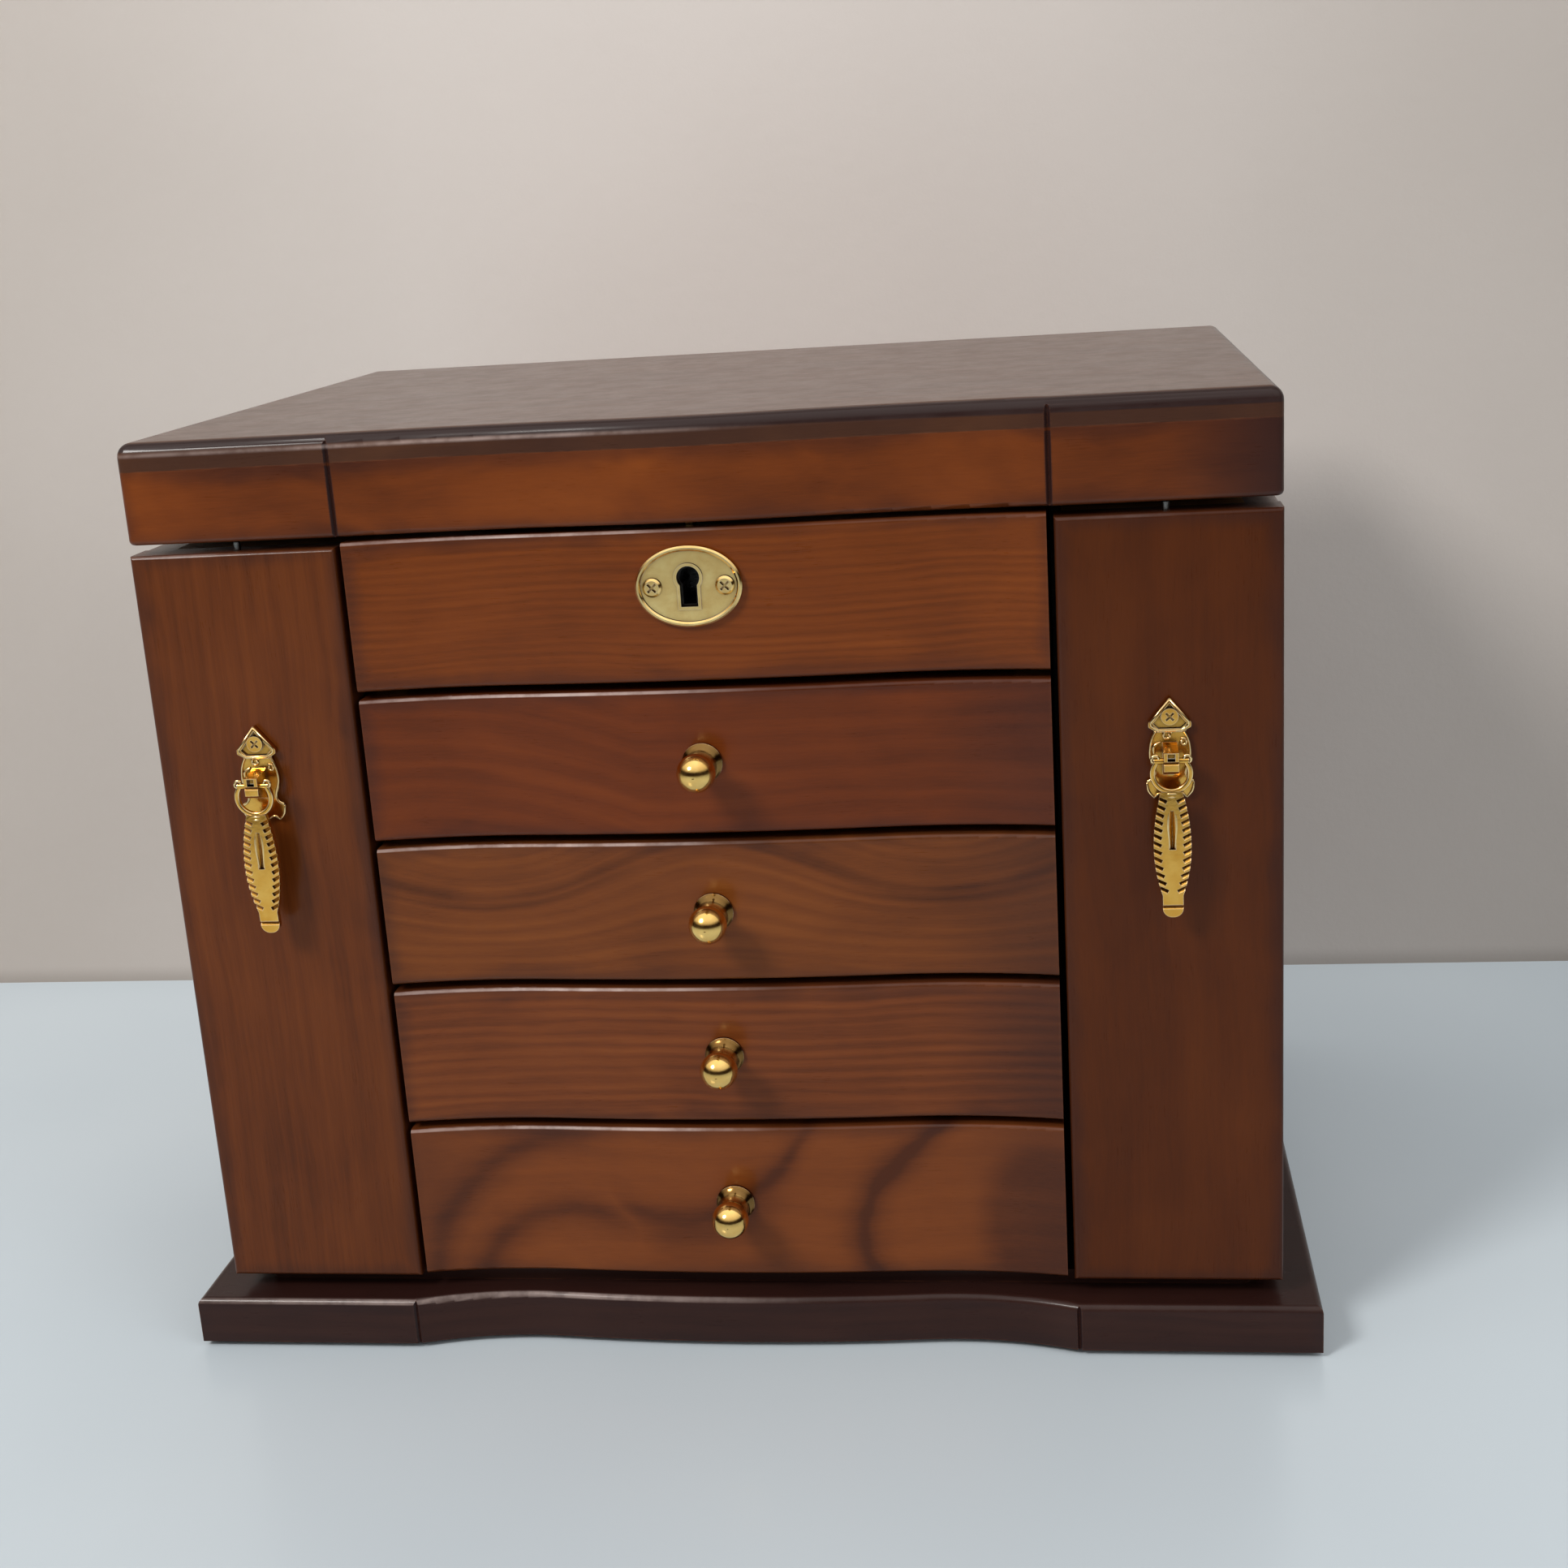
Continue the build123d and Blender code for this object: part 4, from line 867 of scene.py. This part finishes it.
def drop_strokes():
    """Two lines round the ring, curls at its ends, lips by the slit, and ribs on the pendant."""
    strokes = [
        Stroke(spiral(RING_CENTRE, radius, radius, 138, 264, 8.45, 40), 0.3, False)
        for radius in (4.95, 5.85)
    ]
    for side in both_sides(spiral((4.4, 0.7), 1.35, 0.45, -60, 420, 8.3)):
        strokes.append(Stroke(side, 0.42, False))
    for side in both_sides([(0.95, -14.2, 9.1), (1.2, -19.0, 9.4), (0.75, -25.9, 9.65)]):
        strokes.append(Stroke(rounded_path(side), 0.38, True))
    for level, reach, out in ((-9.6, 2.7, 8.7), (-10.6, 2.8, 8.75), (-40.6, 2.6, 9.15)):
        rib = [(-reach, level, out), (0, level, out + 0.1), (reach, level, out)]
        strokes.append(Stroke(rib, 0.32, True))
    return strokes


def carve_pulls(material):
    """The cast relief of the two pulls, on their plates and on their drops."""
    joints = {joint["name"]: joint for joint in frame["record"]["behaviour"]["joints"]}
    for side in ("left", "right"):
        pivot = Vector(joints[f"{side}_drop_swing"]["pos_m"])
        carving(f"{side}_plate_carving", pivot, f"{side}_wing", plate_strokes(), material)
        carving(f"{side}_drop_carving", pivot, f"{side}_drop", drop_strokes(), material)


# ---------------------------------------------------------------- soft pieces

FELT_STEP = 5 * MM
FELT_FLUFF = 7 * MM         # size of the waves in the felt's edge
FELT_PROFILE = ((0.45, 0.0), (0.12, 0.25), (0.0, 0.6), (0.0, 1.4), (0.12, 1.75), (0.45, 2.0))
ROLL_COUNT = 5
ROLL_PITCH = 14.3 * MM
ROLL_SLACK = 0.9 * MM       # room that is left for the puffing
ROLL_END = 4 * MM           # how far the ends are rounded
ROLL_STATIONS = 45
PUFF_FRAMES = 20
FOLD_REACH = 7 * MM
FOLD_DEPTH = 0.28 * MM
FOLD_COUNT = 11


def fabric_piece(piece, node, body):
    """Puts a soft piece on the given body and hides the CAD node that it stands for."""
    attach(piece, body)
    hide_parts(node)


def lined_tray(name, node, body, material):
    """A fabric lining: soft walls with a rolled top edge, coved corners and a full floor."""
    low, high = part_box(node)
    wall = 1.2 * MM
    corner = 2.2 * MM
    cove = 2.5 * MM
    fullness = 0.7 * MM
    roll = wall / 2
    floor = low.z + wall
    loops = [rounded_loop(low, high, 0.0, corner, low.z)]
    loops.append(rounded_loop(low, high, 0.0, corner, high.z - roll))
    for step in range(1, 6):
        angle = math.pi * step / 6
        inset = roll * (1 - math.cos(angle))
        loops.append(rounded_loop(low, high, inset, corner, high.z - roll + roll * math.sin(angle)))
    for step in range(7):
        level = high.z - roll + (floor + cove - high.z + roll) * step / 6
        loops.append(rounded_loop(low, high, wall, corner, level))
    for step in range(1, 5):
        angle = math.pi / 2 * step / 4
        inset = wall + cove * (1 - math.cos(angle))
        level = floor + cove * (1 - math.sin(angle))
        loops.append(rounded_loop(low, high, inset, corner + cove, level))
    rim = loops[-1]
    for step in range(1, 12):
        share = 1 - step / 11.6
        rise = fullness * math.sin(math.pi / 2 * min(1.0, 4 * (1 - share)))
        loops.append(shrunk(rim, share, floor + rise))
    piece = skin(name, loops, material)
    ripple(piece, 0.22 * MM, 16 * MM, low, high)
    fabric_piece(piece, node, body)


def divider_walls(node, body, material):
    """The tray's dividers: card walls covered in velvet, with soft round edges."""
    low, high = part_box(node)
    wall = 3.0 * MM
    bury = 0.5 * MM             # how far the cross walls reach into their neighbours
    across = high.x / 3
    middle = (low.y + wall + high.y) / 2
    walls = {
        "divider_front": ((low.x, low.y), (high.x, low.y + wall)),
        "divider_left": ((-across - wall / 2, low.y + wall - bury), (wall / 2 - across, high.y)),
        "divider_right": ((across - wall / 2, low.y + wall - bury), (across + wall / 2, high.y)),
        "divider_middle": (
            (wall / 2 - across - bury, middle - wall / 2),
            (across - wall / 2 + bury, middle + wall / 2),
        ),
    }
    for seed, (name, (near, far)) in enumerate(walls.items()):
        wall_low = Vector((*near, low.z))
        wall_high = Vector((*far, high.z))
        piece = skin(name, padded_bar(wall_low, wall_high, 1.3 * MM, 24), material)
        ripple(piece, 0.16 * MM, 14 * MM, wall_low, wall_high, seed)
        fabric_piece(piece, node, body)


def wall_lining(name, node, body, material):
    """A thin sheet of velvet-covered card inside a wing, a little full in its middle."""
    low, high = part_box(node)
    inner, outer = (low.x, high.x) if low.x > 0 else (high.x, low.x)
    flat_low = Vector((low.y, low.z, 0))
    flat_high = Vector((high.y, high.z, 0))
    edge = 0.5 * MM
    corner = 2.0 * MM
    thickness = abs(inner - outer)
    profile = [(0.0, 0.0), (0.0, thickness - edge)]
    profile += [
        (edge * (1 - math.cos(angle)), thickness - edge * (1 - math.sin(angle)))
        for angle in (math.radians(30), math.radians(60), math.radians(90))
    ]
    loops = [
        rounded_loop(flat_low, flat_high, inset, corner, rise, 4, 20) for inset, rise in profile
    ]
    rim = loops[-1]
    for step in range(1, 14):
        loops.append(shrunk(rim, 1 - step / 13.6, thickness))
    toward = 1 if inner > outer else -1
    for loop in loops:
        for point in loop:
            point.x, point.y, point.z = outer + toward * point.z, point.x, point.y
    piece = skin(name, loops, material)
    ripple(piece, 0.2 * MM, 22 * MM, low, high)
    fabric_piece(piece, node, body)


def foot_outline(node):
    """The outline of a node's flat underside, as points at most FELT_STEP apart."""
    mesh = bmesh.new()
    mesh.from_mesh(nodes[node].data)
    bmesh.ops.remove_doubles(mesh, verts=mesh.verts, dist=1e-6)
    mesh.normal_update()
    links = {}
    for edge in mesh.edges:
        lean = sorted(face.normal.z for face in edge.link_faces)
        if len(lean) == 2 and lean[0] < -0.9 and abs(lean[1]) < 0.5:
            first, second = (vertex.index for vertex in edge.verts)
            links.setdefault(first, []).append(second)
            links.setdefault(second, []).append(first)
    start = min(links)
    path = [start]
    before, here = start, links[start][0]
    while here != start:
        path.append(here)
        before, here = here, next(link for link in links[here] if link != before)
    mesh.verts.ensure_lookup_table()
    corners = [mesh.verts[index].co.copy() for index in path]
    mesh.free()
    outline = []
    for begin, end in zip(corners, corners[1:] + corners[:1]):
        count = max(1, round((end - begin).length / FELT_STEP))
        outline += [begin.lerp(end, step / count) for step in range(count)]
    return outline


def felt_pad(name, node, body, material):
    """The felt under the plinth: the plinth's outline, with pressed and slightly fluffy edges."""
    low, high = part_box(node)
    outline = foot_outline(node)
    area = sum(a.x * b.y - b.x * a.y for a, b in zip(outline, outline[1:] + outline[:1]))
    turn = 1 if area > 0 else -1
    inward = []
    for index in range(len(outline)):
        way = outline[(index + 1) % len(outline)] - outline[index - 1]
        inward.append(Vector((-way.y, way.x, 0)).normalized() * turn)
    loops = []
    for inset, level in FELT_PROFILE:
        loops.append(
            [
                Vector((point.x, point.y, low.z + level * MM))
                + side * (inset + 0.25 + 0.25 * noise.noise(point / FELT_FLUFF)) * MM
                for point, side in zip(outline, inward)
            ]
        )
    fabric_piece(skin(name, loops, material), node, body)


def roll_loops(low, high, centre, radius):
    """Rings of points along a bolster with drawn-in ends, flat where it rests on the floor."""
    length = high.x - low.x
    loops = []
    for station in range(ROLL_STATIONS):
        share = station / (ROLL_STATIONS - 1)
        x = low.x + ROLL_SLACK + (length - 2 * ROLL_SLACK) * share
        round_end = min(1.0, min(share, 1 - share) * length / ROLL_END)
        here = radius * (0.62 + 0.38 * math.sqrt(1 - (1 - round_end) ** 2))
        angles = [math.tau * step / 24 for step in range(24)]
        loops.append(
            [
                Vector(
                    (
                        x,
                        centre.y + here * math.cos(angle),
                        max(centre.z + here * math.sin(angle), low.z),
                    )
                )
                for angle in angles
            ]
        )
    return loops


def stuffed_rolls(node, body, material):
    """Foam rolls in velvet that hold rings between them, puffed out by a cloth simulation."""
    low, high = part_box(node)
    radius = (high.y - low.y - (ROLL_COUNT - 1) * ROLL_PITCH) / 2
    rolls = []
    for number in range(ROLL_COUNT):
        centre = Vector((0, low.y + radius + number * ROLL_PITCH, high.z - radius))
        loops = roll_loops(low, high, centre, radius - ROLL_SLACK)
        piece = skin(f"ring_roll_{number + 1}", loops, material)
        fabric_piece(piece, node, body)
        rolls.append((piece, centre))
    puff([piece for piece, centre in rolls], 2.0 * MM, 1.0 * MM)
    for number, (piece, centre) in enumerate(rolls):
        roll_low = Vector((low.x, centre.y - radius, low.z))
        roll_high = Vector((high.x, centre.y + radius, high.z))
        gather_ends(piece, centre, low.x, high.x)
        ripple(piece, 0.3 * MM, 13 * MM, roll_low, roll_high, number * 7)


def puff(pieces, voxel, reach):
    """Swells closed pieces with a cloth simulation; no point moves further than reach."""
    scene = bpy.context.scene
    for piece in pieces:
        remesh = piece.modifiers.new("remesh", "REMESH")
        remesh.mode = "VOXEL"
        remesh.voxel_size = voxel
        set_mesh(piece)
        cloth = piece.modifiers.new("cloth", "CLOTH")
        cloth.settings.use_pressure = True
        cloth.settings.uniform_pressure_force = 4.0
        cloth.settings.effector_weights.gravity = 0.0
        cloth.settings.quality = 4
        cloth.collision_settings.use_collision = False
    starts = [[vertex.co.copy() for vertex in piece.data.vertices] for piece in pieces]
    for frame_number in range(1, PUFF_FRAMES + 1):
        scene.frame_set(frame_number)
    for piece, start in zip(pieces, starts):
        set_mesh(piece)
        for vertex, origin in zip(piece.data.vertices, start):
            moved = vertex.co - origin
            if moved.length > reach:
                vertex.co = origin + moved.normalized() * reach
        fine = piece.modifiers.new("fine", "SUBSURF")
        fine.levels = 1
        set_mesh(piece)
        piece.data.shade_smooth()
    scene.frame_set(1)


def set_mesh(piece):
    """Applies every modifier of a piece to its mesh."""
    graph = bpy.context.evaluated_depsgraph_get()
    applied = bpy.data.meshes.new_from_object(piece.evaluated_get(graph))
    piece.modifiers.clear()
    piece.data = applied


def gather_ends(piece, centre, left, right):
    """Small radial folds where the fabric is drawn in over the ends of a roll."""
    for vertex in piece.data.vertices:
        to_end = min(vertex.co.x - left, right - vertex.co.x)
        nearness = max(0.0, 1 - to_end / FOLD_REACH)
        arm = Vector((0, vertex.co.y - centre.y, vertex.co.z - centre.z))
        if nearness and arm.length > 1 * MM:
            fold = 1 + math.cos(FOLD_COUNT * math.atan2(arm.z, arm.y))
            vertex.co -= arm.normalized() * (FOLD_DEPTH * nearness * fold)


# ---------------------------------------------------------------- the scene

LIGHT_WOOD = (176, 128, 80)
ESPRESSO = (50, 26, 20)

make_camera()
make_stage()
make_room()

finishes = {
    # On the fascia and the drawers, the patches of darker tone towards the right are painted shade,
    # where the light falls off.
    "fascia": wood(
        "fascia_wood", "fascia", "x", (112, 53, 12), pitch=2.7, bands=0.06, seed=3, top_line=0.55,
        bore=(6.2, 7.5), patches=((90, 80, -0.04),),
    ),
    "drawer_1_front": wood(
        "drawer_1_wood", "drawer_1_front", "x", (105, 46, 10), fan, pitch=7.5, bands=0.06,
        line=0.25, warp=5, seed=11, right_end=0.4, top_line=0.6, patches=((80, 80, -0.08),),
    ),
    "drawer_2_front": wood(
        "drawer_2_wood", "drawer_2_front", "x", (112, 58, 20), waves, pitch=4.9, bands=0.07,
        line=0.25, warp=3, seed=5, marks=crest_line, right_end=0.45, top_line=0.6,
        patches=((80, 80, -0.07),),
    ),
    "drawer_3_front": wood(
        "drawer_3_wood", "drawer_3_front", "x", (111, 56, 22), pitch=4.0, bands=0.1, line=0.35,
        seed=17, right_end=0.55, top_line=0.6, patches=((80, 80, -0.06),),
    ),
    "drawer_4_front": wood(
        "drawer_4_wood", "drawer_4_front", "x", (120, 61, 22), pitch=9, bands=0.02, streak=0.15,
        line=0.15, blotch=0.35, warp=8, seed=23, marks=crotch_figure, right_end=0.4, left_end=0.3,
        top_line=0.6,
    ),
    "left_wing_front": wood(
        "left_door_wood", "left_wing_front", "z", (97, 47, 14), pitch=6.5, bands=0.03, streak=0.3,
        line=0.4, seed=31, top_line=0.2, coat=0.25,
    ),
    "right_wing_front": wood(
        "right_door_wood", "right_wing_front", "z", (81, 36, 6), soft_figure, pitch=16, bands=0.03,
        line=0.2, warp=9, seed=37, top_line=0.06, coat=0.2,
    ),
    "left_wing_side": wood(
        "left_side_wood", "left_wing_side", "z", (96, 48, 20), pitch=6.0, warp=7, seed=41
    ),
    "right_wing_side": wood(
        "right_side_wood", "right_wing_side", "z", (86, 40, 14), soft_figure, pitch=8, warp=8,
        seed=43,
    ),
    "back_panel": wood(
        "back_wood", "back_panel", "x", (96, 48, 21), soft_figure, pitch=9.0, bands=0.07, warp=12,
        seed=47,
    ),
    "lid_frame": wood(
        "lid_frame_wood", "lid_frame", "x", (117, 56, 16), soft_figure, pitch=14, bands=0.03,
        streak=0.2, line=0.12, blotch=0.8, warp=14, seed=53, right_end=0.85, grooves=104.95,
        patches=((-100, 60, -0.2), (60, 60, -0.16), (130, 60, -0.2)),
    ),
    "lid_top": wood(
        "lid_top_wood", "lid_top", "flat", (80, 47, 28), soft_figure, pitch=14, streak=0.2,
        line=0.1, blotch=0.3, warp=10, seed=59, top_band=0.95, grooves=104.95, coat=0.42,
    ),
    "mirror_frame": wood("moulding_wood", "mirror_frame", "flat", (108, 52, 24), seed=61),
    "base_plinth": wood(
        "plinth_wood", "base_plinth", "x", ESPRESSO, seed=67, top_line=0.35, grooves=107.05
    ),
    "bottom_board": wood("board_wood", "bottom_board", "x", ESPRESSO, seed=71),
}
inner = wood(
    "inner_wood", "tray_floor", "flat", LIGHT_WOOD, seed=73, edge_darkening=0.0, coat=0.15, gloss=0.45
)
bright_brass = brass("bright_brass", tint=(250, 220, 148), rim=0.8, rim_width=0.35)
cast_brass = brass(
    "cast_brass", tint=(236, 186, 92), deep=(64, 30, 6), casting=0.07, gloss=0.14, reach=3.0,
    rim=0.9, rim_width=0.35,
)
relief_brass = brass(
    "relief_brass", tint=(255, 228, 168), deep=(150, 92, 30), casting=0.04, gloss=0.12
)
turned_brass = brass(
    "turned_brass", tint=(248, 212, 132), deep=(70, 26, 6), reach=12.0, casting=0.03, rim=0.9,
    rim_width=0.3, rim_tint=(255, 214, 190), seat=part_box("drawer_1_front")[0].y / MM,
)
hinge_brass = brass("hinge_brass", tint=(228, 180, 96), gloss=0.2)
plated_steel = steel("plated_steel")
champagne = velvet("champagne_velvet", srgb(206, 184, 150), srgb(160, 136, 102))
dark_felt = velvet("dark_felt", srgb(52, 46, 42), srgb(30, 26, 24), nap=0.4)
by_slot = {
    "inner_wood": inner,
    "polished_brass": bright_brass,
    "lock_steel": plated_steel,
    "clear_rubber": rubber("clear_rubber"),
    "mirror_glass": silvered_glass("silvered_glass"),
    "velvet": champagne,
    "felt": dark_felt,
}
for name, piece in nodes.items():
    slot_name = piece.data.materials[0].name.split(".")[0]
    material = finishes.get(name) or by_slot.get(slot_name)
    if name.endswith(("pull_plate", "drop")):
        material = cast_brass
    if name.endswith("knob"):
        material = turned_brass
    if "hinge" in name:
        material = hinge_brass
    for place in piece.material_slots:
        place.material = material

for number in range(1, 5):
    lined_tray(f"drawer_{number}_velvet", f"drawer_{number}_lining", f"drawer_{number}", champagne)
lined_tray("tray_velvet", "tray_lining", "carcase", champagne)
divider_walls("tray_dividers", "carcase", champagne)
stuffed_rolls("ring_rolls", "carcase", champagne)
for side in ("left", "right"):
    wall_lining(f"{side}_wing_velvet", f"{side}_wing_lining", f"{side}_wing", champagne)
felt_pad("felt_pad", "base_felt", "carcase", dark_felt)
carve_pulls(relief_brass)
